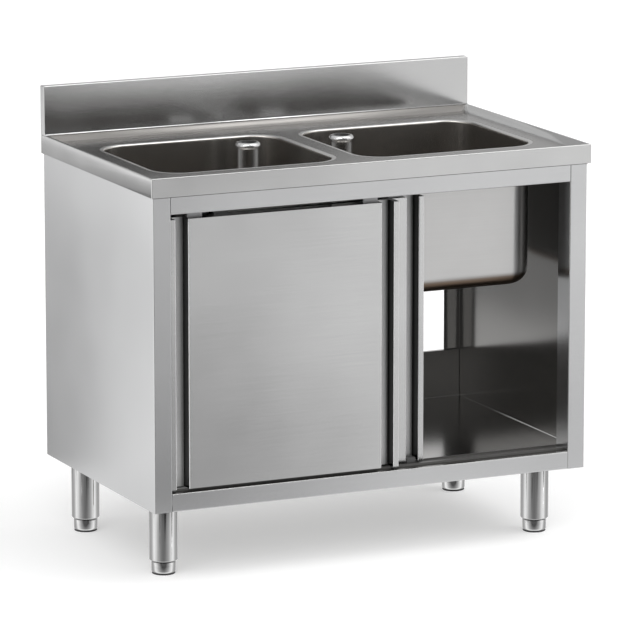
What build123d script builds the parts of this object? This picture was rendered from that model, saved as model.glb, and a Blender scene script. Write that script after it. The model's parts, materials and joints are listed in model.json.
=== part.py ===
from build123d import *
import os

# Stainless sink unit with two bowls and sliding doors. Millimetres, +Z up, +X to the right
# of someone standing at the front, front towards -Y. Origin on the floor, midway between
# the ends and midway between the front and back edges of the worktop.

# ---- driving sizes ----
LENGTH = 1000.0
DEPTH = 600.0
TOP_Z = 850.0
APRON = 40.0
SPLASH_HEIGHT = 105.0
SPLASH_DEPTH = 20.0
CABINET_BOTTOM_Z = 154.5
SIDE_OVERHANG = 6.0
FRONT_OVERHANG = 8.0
TOP_SHEET = 1.2
SHEET = 1.0
BEND = 2.0
JOINT_GAP = 0.2
FIT_CLEARANCE = 0.05
CUTTER_LENGTH = 12.0

# ---- worktop ----
RECESS_DROP = 12.0
RIM_FLAT = 5.0
RIM_SLOPE = 20.0
APRON_RETURN = 15.0
BRACE_WIDTH = 30.0
BRACE_HEIGHT = 18.0

# ---- bowls ----
BOWL_LENGTH = 400.0
BOWL_WIDTH = 360.0
BOWL_DEPTH = 300.0
BOWL_GAP = 58.0
BOWL_Y = -12.0
BOWL_CORNER = 60.0
BOWL_FOOT_RADIUS = 34.0
BOWL_LIP = 5.0
BOWL_FLANGE = 10.0

# ---- wastes and standpipes ----
WASTE_FROM_CENTRE = 120.0
WASTE_BACK = 112.0
WASTE_HOLE_R = 25.0
WASTE_TAIL_R = 23.9
WASTE_NECK_R = 23.5
WASTE_BORE_R = 20.0
WASTE_TAIL_LENGTH = 60.0
WASTE_FLANGE_R = 32.0
WASTE_FLANGE_T = 2.5
WASTE_FLANGE_TAPER = 1.0
SEAL_T = 3.0
SEAL_R = 36.0
NUT_R = 35.0
NUT_HEIGHT = 10.0
PIPE_R = 23.4
PIPE_WALL = 1.5
PIPE_RIM_R = 27.2
PIPE_RIM_HEIGHT = 14.0
PIPE_RIM_ROUND = 2.0
PIPE_MOUTH_R = 10.0
PIPE_MOUTH_ROUND = 3.0
PIPE_BELOW_FLOOR = 2.0
SPIGOT_R = 18.5
SPIGOT_LENGTH = 25.0
PIPE_SEAL_R = 28.5
PIPE_SEAL_T = 2.5

# ---- cabinet ----
UPRIGHT_WIDTH = 39.0
UPRIGHT_RETURN = 52.0
BACK_FLANGE = 40.0
SIDE_FOOT_FLANGE = 20.0
TOP_RAIL_BOTTOM_Z = 772.0
TOP_RAIL_LIP = 7.0
TOP_RAIL_RETURN = 72.0
BACK_RAIL_HEIGHT = 40.0
BACK_RAIL_RETURN = 20.0
SHELF_Z = 192.0
SHELF_RETURN = 35.0
SHELF_BACK_DROP = 33.0
BACK_PANEL_TOP_Z = 300.0
BACK_PANEL_HEM = 12.0

# ---- doors ----
DOOR_LENGTH = 515.5
DOOR_DEPTH = 30.0
DOOR_BOTTOM_Z = 198.0
DOOR_TOP_Z = 759.5
DOOR_SETBACK = 8.0
DOOR_SPACING = 32.0
DOOR_END_GAP = 1.5
REAR_DOOR_RIGHT_X = 134.5
END_STRIP = 12.5
GRIP_WIDTH = 27.5
GRIP_DEPTH = 28.0

# ---- door gear ----
TRACK_WALL = 1.5
TRACK_BOTTOM_Z = 775.0
TRACK_WEB_AHEAD = 14.5
LIP_DEPTH = 10.0
BEAD_WIDTH = 2.0
BEAD_HEIGHT = 1.0
ROLLER_R = 10.0
ROLLER_WIDTH = 8.0
ROLLER_AHEAD = 6.0
ROLLER_BORE_R = 2.55
ROLLER_LIFT = 0.2
GROOVE_WIDTH = 3.0
GROOVE_DEPTH = 1.5
AXLE_R = 2.5
AXLE_HEAD_R = 4.5
AXLE_HEAD_T = 2.0
AXLE_NUT_T = 4.0
HANGER_WIDTH = 33.0
HANGER_PLATE = 2.0
HANGER_FOOT = 12.0
HANGER_FROM_CENTRE = 197.5
TRACK_SCREW_X = 364.0
STOP_LENGTH = 12.0
STOP_GAP = 0.5
GUIDE_BASE_T = 1.0
GUIDE_FIN_T = 1.5
GUIDE_FIN_HEIGHT = 3.2
SHOE_DEPTH = 20.0
SHOE_SLOT = 3.0
SHOE_BOTTOM_Z = 193.6
SHOE_SLOT_TOP_Z = 196.8
FRONT_SHOE_LENGTH = 10.0
REAR_SHOE_LENGTH = 20.0
REAR_SHOE_RISE = 6.0

# ---- legs ----
LEG_FRONT_X = 431.0
LEG_BACK_X = 439.0
LEG_FRONT_Y = -187.0
LEG_BACK_Y = 218.0
LEG_R = 30.0
LEG_WALL = 1.5
LEG_CHAMFER = 4.0
LEG_TUBE_BOTTOM_Z = 27.0
LEG_INSERT_HEIGHT = 20.0
LEG_CAP = 3.0
LEG_PLATE = 78.0
LEG_PLATE_T = 3.0
LEG_BOLT_OFFSET = 28.0
BOLT_R = 3.0
BOLT_HOLE_R = 3.2
BOLT_HEAD_R = 5.0
BOLT_HEAD_T = 3.0
STIFFENER_LIP = 12.0
FOOT_R = 25.5
FOOT_GAP = 0.7
FOOT_ROUND = 2.0
STEM_R = 15.0
STEM_TOP_Z = 100.0
PAD_T = 3.5
PAD_R = 24.5
PAD_ROUND = 1.0

# ---- worked out from the sizes above ----
BACK_Y = DEPTH / 2
FRONT_Y = -DEPTH / 2
APRON_BOTTOM_Z = TOP_Z - APRON
FLOOR_Z = TOP_Z - RECESS_DROP
SPLASH_FRONT_Y = BACK_Y - SPLASH_DEPTH
CABINET_X = LENGTH / 2 - SIDE_OVERHANG
CABINET_FRONT_Y = FRONT_Y + FRONT_OVERHANG
CABINET_TOP_Z = APRON_BOTTOM_Z - JOINT_GAP
OPENING_X = CABINET_X - UPRIGHT_WIDTH
INSIDE_X = CABINET_X - SHEET - JOINT_GAP
BEHIND_X = CABINET_X - BEND
BETWEEN_UPRIGHTS_X = OPENING_X - JOINT_GAP
RETURN_BACK_Y = CABINET_FRONT_Y + UPRIGHT_RETURN
BACK_PANEL_Y = BACK_Y - SHEET
BOWL_PITCH = BOWL_LENGTH + BOWL_GAP
BOWL_FLOOR_Z = FLOOR_Z - BOWL_DEPTH
WASTE_Y = BOWL_Y + WASTE_BACK
NUT_TOP_Z = BOWL_FLOOR_Z - TOP_SHEET - SEAL_T
DOOR_REST_X = -OPENING_X + DOOR_END_GAP
FRONT_DOOR_Y = CABINET_FRONT_Y + DOOR_SETBACK
REAR_DOOR_Y = FRONT_DOOR_Y + DOOR_SPACING
TRACK_TOP_Z = CABINET_TOP_Z - SHEET
LIP_TOP_Z = TRACK_BOTTOM_Z + TRACK_WALL
ROLLER_Z = LIP_TOP_Z + ROLLER_R + ROLLER_LIFT
STIFFENER_BOTTOM_Z = CABINET_BOTTOM_Z + SHEET + LEG_PLATE_T
LEG_TOP_Z = CABINET_BOTTOM_Z + SHEET
SIDES = {"left": -1, "right": 1}


def block(x0, x1, y0, y1, z0, z1):
    """A box between two corners."""
    return Pos(x0, y0, z0) * Box(x1 - x0, y1 - y0, z1 - z0, align=(Align.MIN,) * 3)


def rounded_block(x, y, length, width, corner, z0, z1):
    """A box with rounded upright edges, centred on x and y."""
    return extrude(Pos(x, y, z0) * RectangleRounded(length, width, corner), z1 - z0)


def turned(points, x=0.0, y=0.0):
    """A solid turned about the upright line at x and y from points of radius and height."""
    profile = make_face(Polyline(*[(r, 0.0, z) for r, z in points], close=True))
    return Pos(x, y, 0) * revolve(profile, Axis.Z)


def folded(points, side, thickness=SHEET, bend=BEND):
    """The section of a folded sheet whose outer face follows the points."""
    line = FilletPolyline(*points, radius=bend)
    return make_face(offset(line, thickness, side=side, closed=True).edges())


def along_x(section, x0, x1):
    """Extrudes a section drawn in Y and Z from x0 to x1."""
    return Pos(x0, 0, 0) * extrude(Plane.YZ * section, x1 - x0)


def bowl_x(side):
    return side * BOWL_PITCH / 2


def waste_x(side):
    return bowl_x(side) - side * WASTE_FROM_CENTRE


# ---------------------------------------------------------------- worktop and bowls
def recess(drop):
    """The space above the dished face of the worktop, lowered by drop."""
    front, back = FRONT_Y + RIM_FLAT, SPLASH_FRONT_Y
    mouth_length = LENGTH - 2 * RIM_FLAT
    floor_length = mouth_length - 2 * RIM_SLOPE
    centre_y = (front + back) / 2
    mouth = Pos(0, centre_y, TOP_Z - drop) * Rectangle(mouth_length, back - front)
    floor = Pos(0, centre_y, FLOOR_Z - drop) * Rectangle(
        floor_length, back - front - 2 * RIM_SLOPE
    )
    return loft([mouth, floor], ruled=True)


def worktop():
    """Dished sheet with a downturned apron, open where the bowls go."""
    x, y = LENGTH / 2, DEPTH / 2
    body = block(-x, x, -y, y, APRON_BOTTOM_Z, TOP_Z)
    body = fillet(body.edges().filter_by(Axis.Z) + body.edges().group_by(Axis.Z)[-1], BEND)
    x, y = x - TOP_SHEET, y - TOP_SHEET
    hollow = block(-x, x, -y, y, APRON_BOTTOM_Z + TOP_SHEET, TOP_Z - TOP_SHEET)
    hollow -= recess(TOP_SHEET)
    x, y = LENGTH / 2 - APRON_RETURN, DEPTH / 2 - APRON_RETURN
    mouth = block(-x, x, -y, y, APRON_BOTTOM_Z, APRON_BOTTOM_Z + TOP_SHEET)
    body = body - recess(0) - hollow - mouth
    for side in SIDES.values():
        body -= bowl_outline(side, BOWL_FLANGE, FLOOR_Z - 2 * TOP_SHEET, TOP_Z)
    return body


def bowl_outline(side, margin, z0, z1):
    """The rounded oblong of a bowl's mouth, grown by margin."""
    return rounded_block(
        bowl_x(side),
        BOWL_Y,
        BOWL_LENGTH + 2 * margin,
        BOWL_WIDTH + 2 * margin,
        BOWL_CORNER + margin,
        z0,
        z1,
    )


def outline_edges(body, side, margin, z):
    """The edges of body at height z that follow a bowl's outline grown by margin."""
    x, y = BOWL_LENGTH / 2 + margin, BOWL_WIDTH / 2 + margin
    found = []
    for edge in body.edges().filter_by_position(Axis.Z, z - 0.01, z + 0.01):
        middle = edge.center() - Vector(bowl_x(side), BOWL_Y, z)
        if edge.geom_type == GeomType.CIRCLE:
            follows = abs(edge.radius - BOWL_CORNER - margin) < 0.01
        else:
            follows = min(abs(abs(middle.X) - x), abs(abs(middle.Y) - y)) < 0.01
        if follows:
            found.append(edge)
    return found


def bowl(side):
    """Pressed bowl with a rolled lip and a flat flange flush with the worktop."""
    under = FLOOR_Z - TOP_SHEET
    tub = bowl_outline(side, TOP_SHEET, BOWL_FLOOR_Z - TOP_SHEET, under)
    tub = fillet(tub.edges().group_by(Axis.Z)[0], BOWL_FOOT_RADIUS + TOP_SHEET)
    body = tub + bowl_outline(side, BOWL_FLANGE, under, FLOOR_Z)
    body = fillet(outline_edges(body, side, TOP_SHEET, under), BOWL_LIP - TOP_SHEET)
    cavity = bowl_outline(side, 0, BOWL_FLOOR_Z, FLOOR_Z)
    cavity = fillet(cavity.edges().group_by(Axis.Z)[0], BOWL_FOOT_RADIUS)
    body -= cavity
    body = fillet(outline_edges(body, side, 0, FLOOR_Z), BOWL_LIP)
    return body - Pos(waste_x(side), WASTE_Y, BOWL_FLOOR_Z) * Cylinder(WASTE_HOLE_R, CUTTER_LENGTH)


def splashback():
    """Upstand folded to a box that is open at the back, with closed ends."""
    x, top = LENGTH / 2, TOP_Z + SPLASH_HEIGHT
    body = block(-x, x, SPLASH_FRONT_Y, BACK_Y, TOP_Z, top)
    front = body.faces().sort_by(Axis.Y)[0]
    body = fillet(body.edges().group_by(Axis.Z)[-1] + front.edges().filter_by(Axis.Z), BEND)
    x -= TOP_SHEET
    y0 = SPLASH_FRONT_Y + TOP_SHEET
    body -= block(-x, x, y0, BACK_Y - TOP_SHEET, TOP_Z, top - TOP_SHEET)
    return body - block(-x, x, y0, BACK_Y, TOP_Z, top - 2 * APRON_RETURN)


def worktop_brace():
    """Channel under the strip of worktop between the bowls."""
    half = BRACE_WIDTH / 2
    y0 = FRONT_Y + RIM_FLAT + RIM_SLOPE + BEND
    y1 = SPLASH_FRONT_Y - RIM_SLOPE - BEND
    top = FLOOR_Z - TOP_SHEET
    outer = block(-half, half, y0, y1, top - BRACE_HEIGHT, top)
    half -= SHEET
    return outer - block(-half, half, y0, y1, top - BRACE_HEIGHT + SHEET, top)


# ---------------------------------------------------------------- wastes and standpipes
def waste_body(side):
    """Waste with a flange in the bowl and a threaded tail below it."""
    z = BOWL_FLOOR_Z
    neck_z = NUT_TOP_Z - NUT_HEIGHT
    points = [
        (WASTE_BORE_R, z - WASTE_TAIL_LENGTH),
        (WASTE_TAIL_R, z - WASTE_TAIL_LENGTH),
        (WASTE_TAIL_R, neck_z),
        (WASTE_NECK_R, neck_z),
        (WASTE_NECK_R, z),
        (WASTE_FLANGE_R, z),
        (WASTE_FLANGE_R - WASTE_FLANGE_TAPER, z + WASTE_FLANGE_T),
        (WASTE_BORE_R, z + WASTE_FLANGE_T),
    ]
    return turned(points, waste_x(side), WASTE_Y)


def ring(inner, outer, z0, z1, x, y):
    return turned([(inner, z0), (outer, z0), (outer, z1), (inner, z1)], x, y)


def waste_seal(side):
    inner = WASTE_TAIL_R + FIT_CLEARANCE
    return ring(inner, SEAL_R, NUT_TOP_Z, NUT_TOP_Z + SEAL_T, waste_x(side), WASTE_Y)


def waste_nut(side):
    """Hexagonal back nut on the tail, under the seal."""
    at = Pos(waste_x(side), WASTE_Y, NUT_TOP_Z - NUT_HEIGHT)
    bore = Circle(WASTE_TAIL_R + FIT_CLEARANCE)
    return at * extrude(RegularPolygon(NUT_R, 6) - bore, NUT_HEIGHT)


def standpipe(side):
    """Overflow tube with a rolled-in rim at the top and a spigot at the bottom."""
    seat = BOWL_FLOOR_Z + WASTE_FLANGE_T + PIPE_SEAL_T
    bottom = seat - SPIGOT_LENGTH
    shoulder = seat + 2 * PIPE_WALL
    top = FLOOR_Z - PIPE_BELOW_FLOOR
    neck = top - PIPE_RIM_HEIGHT
    rim = top - PIPE_RIM_HEIGHT / 2
    bore, spigot_bore = PIPE_R - PIPE_WALL, SPIGOT_R - PIPE_WALL
    flare = (PIPE_RIM_R, rim)
    crown = (PIPE_RIM_R - 2 * PIPE_RIM_ROUND, top)
    mouth = (PIPE_MOUTH_R, rim)
    over_rim = (PIPE_RIM_R - PIPE_RIM_ROUND, top - PIPE_RIM_ROUND)
    into_mouth = (PIPE_MOUTH_R + PIPE_MOUTH_ROUND, top - PIPE_RIM_ROUND)
    inside = Polyline(
        mouth,
        (PIPE_MOUTH_R + PIPE_WALL, rim),
        (bore, neck),
        (bore, shoulder),
        (spigot_bore, shoulder),
        (spigot_bore, bottom),
    )
    outside = Polyline(
        (spigot_bore, bottom),
        (SPIGOT_R, bottom),
        (SPIGOT_R, seat),
        (PIPE_RIM_R, seat),
        (PIPE_R, shoulder),
        (PIPE_R, neck),
        flare,
    )
    roll = ThreePointArc(flare, over_rim, crown) + ThreePointArc(crown, into_mouth, mouth)
    profile = Plane.XZ * make_face((outside + roll + inside).edges())
    return Pos(waste_x(side), WASTE_Y, 0) * revolve(profile, Axis.Z)


def standpipe_seal(side):
    z = BOWL_FLOOR_Z + WASTE_FLANGE_T
    return ring(SPIGOT_R, PIPE_SEAL_R, z, z + PIPE_SEAL_T, waste_x(side), WASTE_Y)


# ---------------------------------------------------------------- cabinet
def side_panel(side):
    """Side sheet folded round into a front upright and a back flange."""
    points = [
        (-OPENING_X, RETURN_BACK_Y),
        (-OPENING_X, CABINET_FRONT_Y),
        (-CABINET_X, CABINET_FRONT_Y),
        (-CABINET_X, BACK_Y),
        (-CABINET_X + BACK_FLANGE, BACK_Y),
    ]
    height = CABINET_TOP_Z - CABINET_BOTTOM_Z
    body = Pos(0, 0, CABINET_BOTTOM_Z) * extrude(folded(points, Side.RIGHT), height)
    inner = -CABINET_X + SHEET / 2
    body += block(
        inner,
        inner + SIDE_FOOT_FLANGE,
        RETURN_BACK_Y + SHEET,
        BACK_Y - SHEET / 2,
        CABINET_BOTTOM_Z,
        CABINET_BOTTOM_Z + SHEET,
    )
    return body if side < 0 else mirror(body, Plane.YZ)


def front_top_rail():
    """Rail over the doors, with a return that carries the track."""
    points = [
        (CABINET_FRONT_Y + TOP_RAIL_LIP, TOP_RAIL_BOTTOM_Z),
        (CABINET_FRONT_Y, TOP_RAIL_BOTTOM_Z),
        (CABINET_FRONT_Y, CABINET_TOP_Z),
        (CABINET_FRONT_Y + TOP_RAIL_RETURN, CABINET_TOP_Z),
    ]
    section = folded(points, Side.RIGHT)
    body = along_x(section, -BETWEEN_UPRIGHTS_X, BETWEEN_UPRIGHTS_X)
    for x, y in track_screw_places():
        body -= Pos(x, y, CABINET_TOP_Z) * Cylinder(BOLT_HOLE_R, CUTTER_LENGTH)
    return body


def back_top_rail():
    """Angle across the back, under the worktop."""
    points = [
        (BACK_PANEL_Y, CABINET_TOP_Z - BACK_RAIL_HEIGHT),
        (BACK_PANEL_Y, CABINET_TOP_Z),
        (BACK_PANEL_Y - BACK_RAIL_RETURN, CABINET_TOP_Z),
    ]
    return along_x(folded(points, Side.LEFT), -BEHIND_X, BEHIND_X)


def bottom_shelf():
    """Floor of the cupboard, folded down at the front into the bottom rail."""
    back = BACK_PANEL_Y - SHEET
    points = [
        (back, SHELF_Z - SHELF_BACK_DROP),
        (back, SHELF_Z),
        (CABINET_FRONT_Y, SHELF_Z),
        (CABINET_FRONT_Y, CABINET_BOTTOM_Z),
        (CABINET_FRONT_Y + SHELF_RETURN, CABINET_BOTTOM_Z),
    ]
    body = along_x(folded(points, Side.LEFT), -INSIDE_X, INSIDE_X)
    for side in SIDES.values():
        xs = sorted((side * BETWEEN_UPRIGHTS_X, side * CABINET_X))
        notch_back = RETURN_BACK_Y + JOINT_GAP
        body -= block(*xs, FRONT_Y, notch_back, CABINET_BOTTOM_Z - SHEET, SHELF_Z + SHEET)
    return body


def back_panel_lower():
    """Low back panel with a hemmed top edge, open above for the pipes."""
    points = [
        (BACK_PANEL_Y, SHELF_Z - SHELF_BACK_DROP),
        (BACK_PANEL_Y, BACK_PANEL_TOP_Z),
        (BACK_PANEL_Y - BACK_PANEL_HEM, BACK_PANEL_TOP_Z),
    ]
    return along_x(folded(points, Side.LEFT), -BEHIND_X, BEHIND_X)


def shelf_stiffener(leg_x, leg_y):
    """Lipped channel under the shelf that the legs are bolted to."""
    y0, y1 = leg_y - LEG_PLATE / 2, leg_y + LEG_PLATE / 2
    top = SHELF_Z - SHEET
    points = [
        (y0 + STIFFENER_LIP, top),
        (y0, top),
        (y0, STIFFENER_BOTTOM_Z),
        (y1, STIFFENER_BOTTOM_Z),
        (y1, top),
        (y1 - STIFFENER_LIP, top),
    ]
    body = along_x(folded(points, Side.LEFT), -INSIDE_X, INSIDE_X)
    for side in SIDES.values():
        for x, y in leg_bolt_places(side * leg_x, leg_y):
            body -= Pos(x, y, STIFFENER_BOTTOM_Z) * Cylinder(BOLT_HOLE_R, CUTTER_LENGTH)
    return body


# ---------------------------------------------------------------- legs and feet
def leg_bolt_places(x, y):
    offsets = (-LEG_BOLT_OFFSET, LEG_BOLT_OFFSET)
    return [(x + dx, y + dy) for dx in offsets for dy in offsets]


def leg_plate(x, y):
    half = LEG_PLATE / 2
    body = block(x - half, x + half, y - half, y + half, LEG_TOP_Z, STIFFENER_BOTTOM_Z)
    for bx, by in leg_bolt_places(x, y):
        body -= Pos(bx, by, STIFFENER_BOTTOM_Z) * Cylinder(BOLT_HOLE_R, CUTTER_LENGTH)
    return body


def leg_tube(x, y):
    """Tube with a top cap and a bored insert for the foot's stem."""
    bottom = LEG_TUBE_BOTTOM_Z
    points = [
        (0, LEG_TOP_Z),
        (LEG_R, LEG_TOP_Z),
        (LEG_R, bottom + LEG_CHAMFER),
        (LEG_R - LEG_CHAMFER, bottom),
        (STEM_R, bottom),
        (STEM_R, bottom + LEG_INSERT_HEIGHT),
        (LEG_R - LEG_WALL, bottom + LEG_INSERT_HEIGHT),
        (LEG_R - LEG_WALL, LEG_TOP_Z - LEG_CAP),
        (0, LEG_TOP_Z - LEG_CAP),
    ]
    return turned(points, x, y)


def foot(x, y):
    """Levelling foot: a round body on a stem that screws into the leg."""
    top = LEG_TUBE_BOTTOM_Z - FOOT_GAP
    stem = STEM_R - FIT_CLEARANCE
    points = [
        (0, PAD_T),
        (FOOT_R - FOOT_ROUND, PAD_T),
        (FOOT_R - FOOT_ROUND / 3, PAD_T + FOOT_ROUND / 3),
        (FOOT_R, PAD_T + FOOT_ROUND),
        (FOOT_R, top),
        (stem, top),
        (stem, STEM_TOP_Z),
        (0, STEM_TOP_Z),
    ]
    return turned(points, x, y)


def foot_pad(x, y):
    points = [
        (0, 0),
        (PAD_R - PAD_ROUND, 0),
        (PAD_R, PAD_ROUND),
        (PAD_R - PAD_ROUND / 2, PAD_T),
        (0, PAD_T),
    ]
    return turned(points, x, y)


def bolt(x, y):
    """Bolt up through a leg's plate and the stiffener, with a nut on top."""
    nut_z = STIFFENER_BOTTOM_Z + SHEET
    points = [
        (0, LEG_TOP_Z - BOLT_HEAD_T),
        (BOLT_HEAD_R, LEG_TOP_Z - BOLT_HEAD_T),
        (BOLT_HEAD_R, LEG_TOP_Z),
        (BOLT_R, LEG_TOP_Z),
        (BOLT_R, nut_z),
        (BOLT_HEAD_R, nut_z),
        (BOLT_HEAD_R, nut_z + BOLT_HEAD_T),
        (0, nut_z + BOLT_HEAD_T),
    ]
    return turned(points, x, y)


def leg_bolts():
    places = [place for leg in LEGS.values() for place in leg_bolt_places(*leg)]
    return Compound([bolt(x, y) for x, y in places])


# ---------------------------------------------------------------- doors
def door_skin(x0, front):
    """Front sheet of a door, folded into a recessed grip beside each end."""
    x1 = x0 + DOOR_LENGTH
    floor, end = front + GRIP_DEPTH, front + GRIP_DEPTH + SHEET
    left = (x0, x0 + END_STRIP, x0 + END_STRIP + GRIP_WIDTH)
    right = (x1 - END_STRIP - GRIP_WIDTH, x1 - END_STRIP, x1)
    points = [
        (left[0], end),
        (left[0], front),
        (left[1], front),
        (left[1], floor),
        (left[2], floor),
        (left[2], front),
        (right[0], front),
        (right[0], floor),
        (right[1], floor),
        (right[1], front),
        (right[2], front),
        (right[2], end),
    ]
    height = DOOR_TOP_Z - DOOR_BOTTOM_Z
    body = Pos(0, 0, DOOR_BOTTOM_Z) * extrude(folded(points, Side.LEFT), height)
    spans = [(left[0], left[1]), (left[2], right[0]), (right[1], right[2])]
    for a, b in spans:
        for z in (DOOR_BOTTOM_Z, DOOR_TOP_Z - SHEET):
            body += block(a + SHEET, b - SHEET, front + SHEET, end, z, z + SHEET)
    return body


def door_liner(x0, front):
    """Flat inner sheet that closes the back of a door."""
    y0 = front + GRIP_DEPTH + SHEET
    return block(x0, x0 + DOOR_LENGTH, y0, front + DOOR_DEPTH, DOOR_BOTTOM_Z, DOOR_TOP_Z)


def door_middle(front):
    return front + DOOR_DEPTH / 2


def hanger_x(x0, side):
    return x0 + DOOR_LENGTH / 2 + side * HANGER_FROM_CENTRE


def round_along_y(x, y0, y1, z, radius):
    """A cylinder lying along Y."""
    disc = Plane(origin=(x, y1, z), x_dir=(1, 0, 0), z_dir=(0, -1, 0)) * Circle(radius)
    return extrude(disc, y1 - y0)


def hanger(x, y):
    """Bracket on top of a door that holds a roller."""
    half = HANGER_WIDTH / 2
    plate_front = y - HANGER_PLATE / 2
    plate_back = y + HANGER_PLATE / 2
    foot_back = plate_back + HANGER_FOOT
    body = block(x - half, x + half, plate_front, plate_back, DOOR_TOP_Z, ROLLER_Z)
    body += round_along_y(x, plate_front, plate_back, ROLLER_Z, AXLE_HEAD_R + HANGER_PLATE)
    sole_z = DOOR_TOP_Z + HANGER_PLATE
    body += block(x - half, x + half, plate_front, foot_back, DOOR_TOP_Z, sole_z)
    return body - round_along_y(x, plate_front, plate_back, ROLLER_Z, AXLE_R)


def axle(x, y):
    """Shouldered bolt through a roller and its hanger."""
    front = y - ROLLER_AHEAD - ROLLER_WIDTH / 2 - JOINT_GAP
    back = y + HANGER_PLATE / 2
    body = round_along_y(x, front - AXLE_HEAD_T, front, ROLLER_Z, AXLE_HEAD_R)
    body += round_along_y(x, front - AXLE_HEAD_T, back + AXLE_NUT_T, ROLLER_Z, AXLE_R)
    return body + round_along_y(x, back, back + AXLE_NUT_T, ROLLER_Z, AXLE_HEAD_R)


def roller(x, y):
    """Grooved wheel that runs on the bead of the track."""
    middle = y - ROLLER_AHEAD
    y0, y1 = middle - ROLLER_WIDTH / 2, middle + ROLLER_WIDTH / 2
    body = round_along_y(x, y0, y1, ROLLER_Z, ROLLER_R)
    groove_front, groove_back = middle - GROOVE_WIDTH / 2, middle + GROOVE_WIDTH / 2
    groove = round_along_y(x, groove_front, groove_back, ROLLER_Z, ROLLER_R + GROOVE_DEPTH)
    groove -= round_along_y(x, groove_front, groove_back, ROLLER_Z, ROLLER_R - GROOVE_DEPTH)
    return body - groove - round_along_y(x, y0, y1, ROLLER_Z, ROLLER_BORE_R)


def guide_shoe(x, y, length, rise):
    """Slider under a door that straddles a fin of the bottom guide."""
    half, deep = length / 2, SHOE_DEPTH / 2
    body = block(x - half, x + half, y - deep, y + deep, SHOE_BOTTOM_Z, DOOR_BOTTOM_Z + rise)
    slot = SHOE_SLOT / 2
    return body - block(x - half, x + half, y - slot, y + slot, SHOE_BOTTOM_Z, SHOE_SLOT_TOP_Z)


def guide_shoes(x0, y, inset, length, rise):
    places = (x0 + inset, x0 + DOOR_LENGTH - inset)
    return Compound([guide_shoe(x, y, length, rise) for x in places])


# ---------------------------------------------------------------- track and bottom guide
def track_lane(y):
    """Web, lip and bead that one door's rollers run on."""
    x = BETWEEN_UPRIGHTS_X
    web = y - TRACK_WEB_AHEAD
    lip_front = web + TRACK_WALL
    bead = y - ROLLER_AHEAD
    body = block(-x, x, web, lip_front, TRACK_BOTTOM_Z, TRACK_TOP_Z)
    body += block(-x, x, web, lip_front + LIP_DEPTH, TRACK_BOTTOM_Z, LIP_TOP_Z)
    half = BEAD_WIDTH / 2
    return body + block(-x, x, bead - half, bead + half, LIP_TOP_Z, LIP_TOP_Z + BEAD_HEIGHT)


def track_screw_places():
    rear_web = door_middle(REAR_DOOR_Y) - TRACK_WEB_AHEAD
    y = (door_middle(FRONT_DOOR_Y) + rear_web) / 2
    return [(share * TRACK_SCREW_X, y) for share in (-1, -1 / 3, 1 / 3, 1)]


def door_track():
    """Double top track, one lane for each door."""
    x = BETWEEN_UPRIGHTS_X
    front = door_middle(FRONT_DOOR_Y) - TRACK_WEB_AHEAD
    back = CABINET_FRONT_Y + TOP_RAIL_RETURN
    body = block(-x, x, front, back, TRACK_TOP_Z - TRACK_WALL, TRACK_TOP_Z)
    body += track_lane(door_middle(FRONT_DOOR_Y)) + track_lane(door_middle(REAR_DOOR_Y))
    for sx, sy in track_screw_places():
        body -= Pos(sx, sy, TRACK_TOP_Z) * Cylinder(BOLT_HOLE_R, CUTTER_LENGTH)
    return body


def track_screws():
    head_top = TRACK_TOP_Z - TRACK_WALL
    points = [
        (0, head_top - BOLT_HEAD_T),
        (BOLT_HEAD_R, head_top - BOLT_HEAD_T),
        (BOLT_HEAD_R, head_top),
        (BOLT_R, head_top),
        (BOLT_R, CABINET_TOP_Z),
        (0, CABINET_TOP_Z),
    ]
    return Compound([turned(points, x, y) for x, y in track_screw_places()])


def track_stops():
    """Blocks in the track that end each door's travel."""
    reach = OPENING_X - DOOR_END_GAP - DOOR_LENGTH / 2 + HANGER_FROM_CENTRE
    near = reach + ROLLER_R + STOP_GAP
    stops = []
    for front in (FRONT_DOOR_Y, REAR_DOOR_Y):
        y = door_middle(front) - ROLLER_AHEAD
        z0, z1 = LIP_TOP_Z + BEAD_HEIGHT, ROLLER_Z + ROLLER_R / 2
        y0 = door_middle(front) - TRACK_WEB_AHEAD + TRACK_WALL
        for side in SIDES.values():
            xs = sorted((side * near, side * (near + STOP_LENGTH)))
            stops.append(block(*xs, y0, y + ROLLER_WIDTH / 2, z0, z1))
    return Compound(stops)


def door_guide_rail():
    """Strip on the shelf with one fin for each door."""
    x = BETWEEN_UPRIGHTS_X
    half = GUIDE_FIN_T / 2
    lanes = [door_middle(FRONT_DOOR_Y), door_middle(REAR_DOOR_Y)]
    base_top = SHELF_Z + GUIDE_BASE_T
    fin_top = base_top + GUIDE_FIN_HEIGHT
    body = block(-x, x, lanes[0] - half, lanes[1] + half, SHELF_Z, base_top)
    for y in lanes:
        body += block(-x, x, y - half, y + half, SHELF_Z, fin_top)
    return body


# ---------------------------------------------------------------- the whole unit
LEGS = {
    "front_left": (-LEG_FRONT_X, LEG_FRONT_Y),
    "front_right": (LEG_FRONT_X, LEG_FRONT_Y),
    "back_left": (-LEG_BACK_X, LEG_BACK_Y),
    "back_right": (LEG_BACK_X, LEG_BACK_Y),
}
DOORS = {
    "front": (DOOR_REST_X, FRONT_DOOR_Y),
    "rear": (REAR_DOOR_RIGHT_X - DOOR_LENGTH, REAR_DOOR_Y),
}
SHOES = {
    "front": (END_STRIP / 2, FRONT_SHOE_LENGTH, 0.0),
    "rear": (END_STRIP + GRIP_WIDTH / 2, REAR_SHOE_LENGTH, REAR_SHOE_RISE),
}


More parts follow.
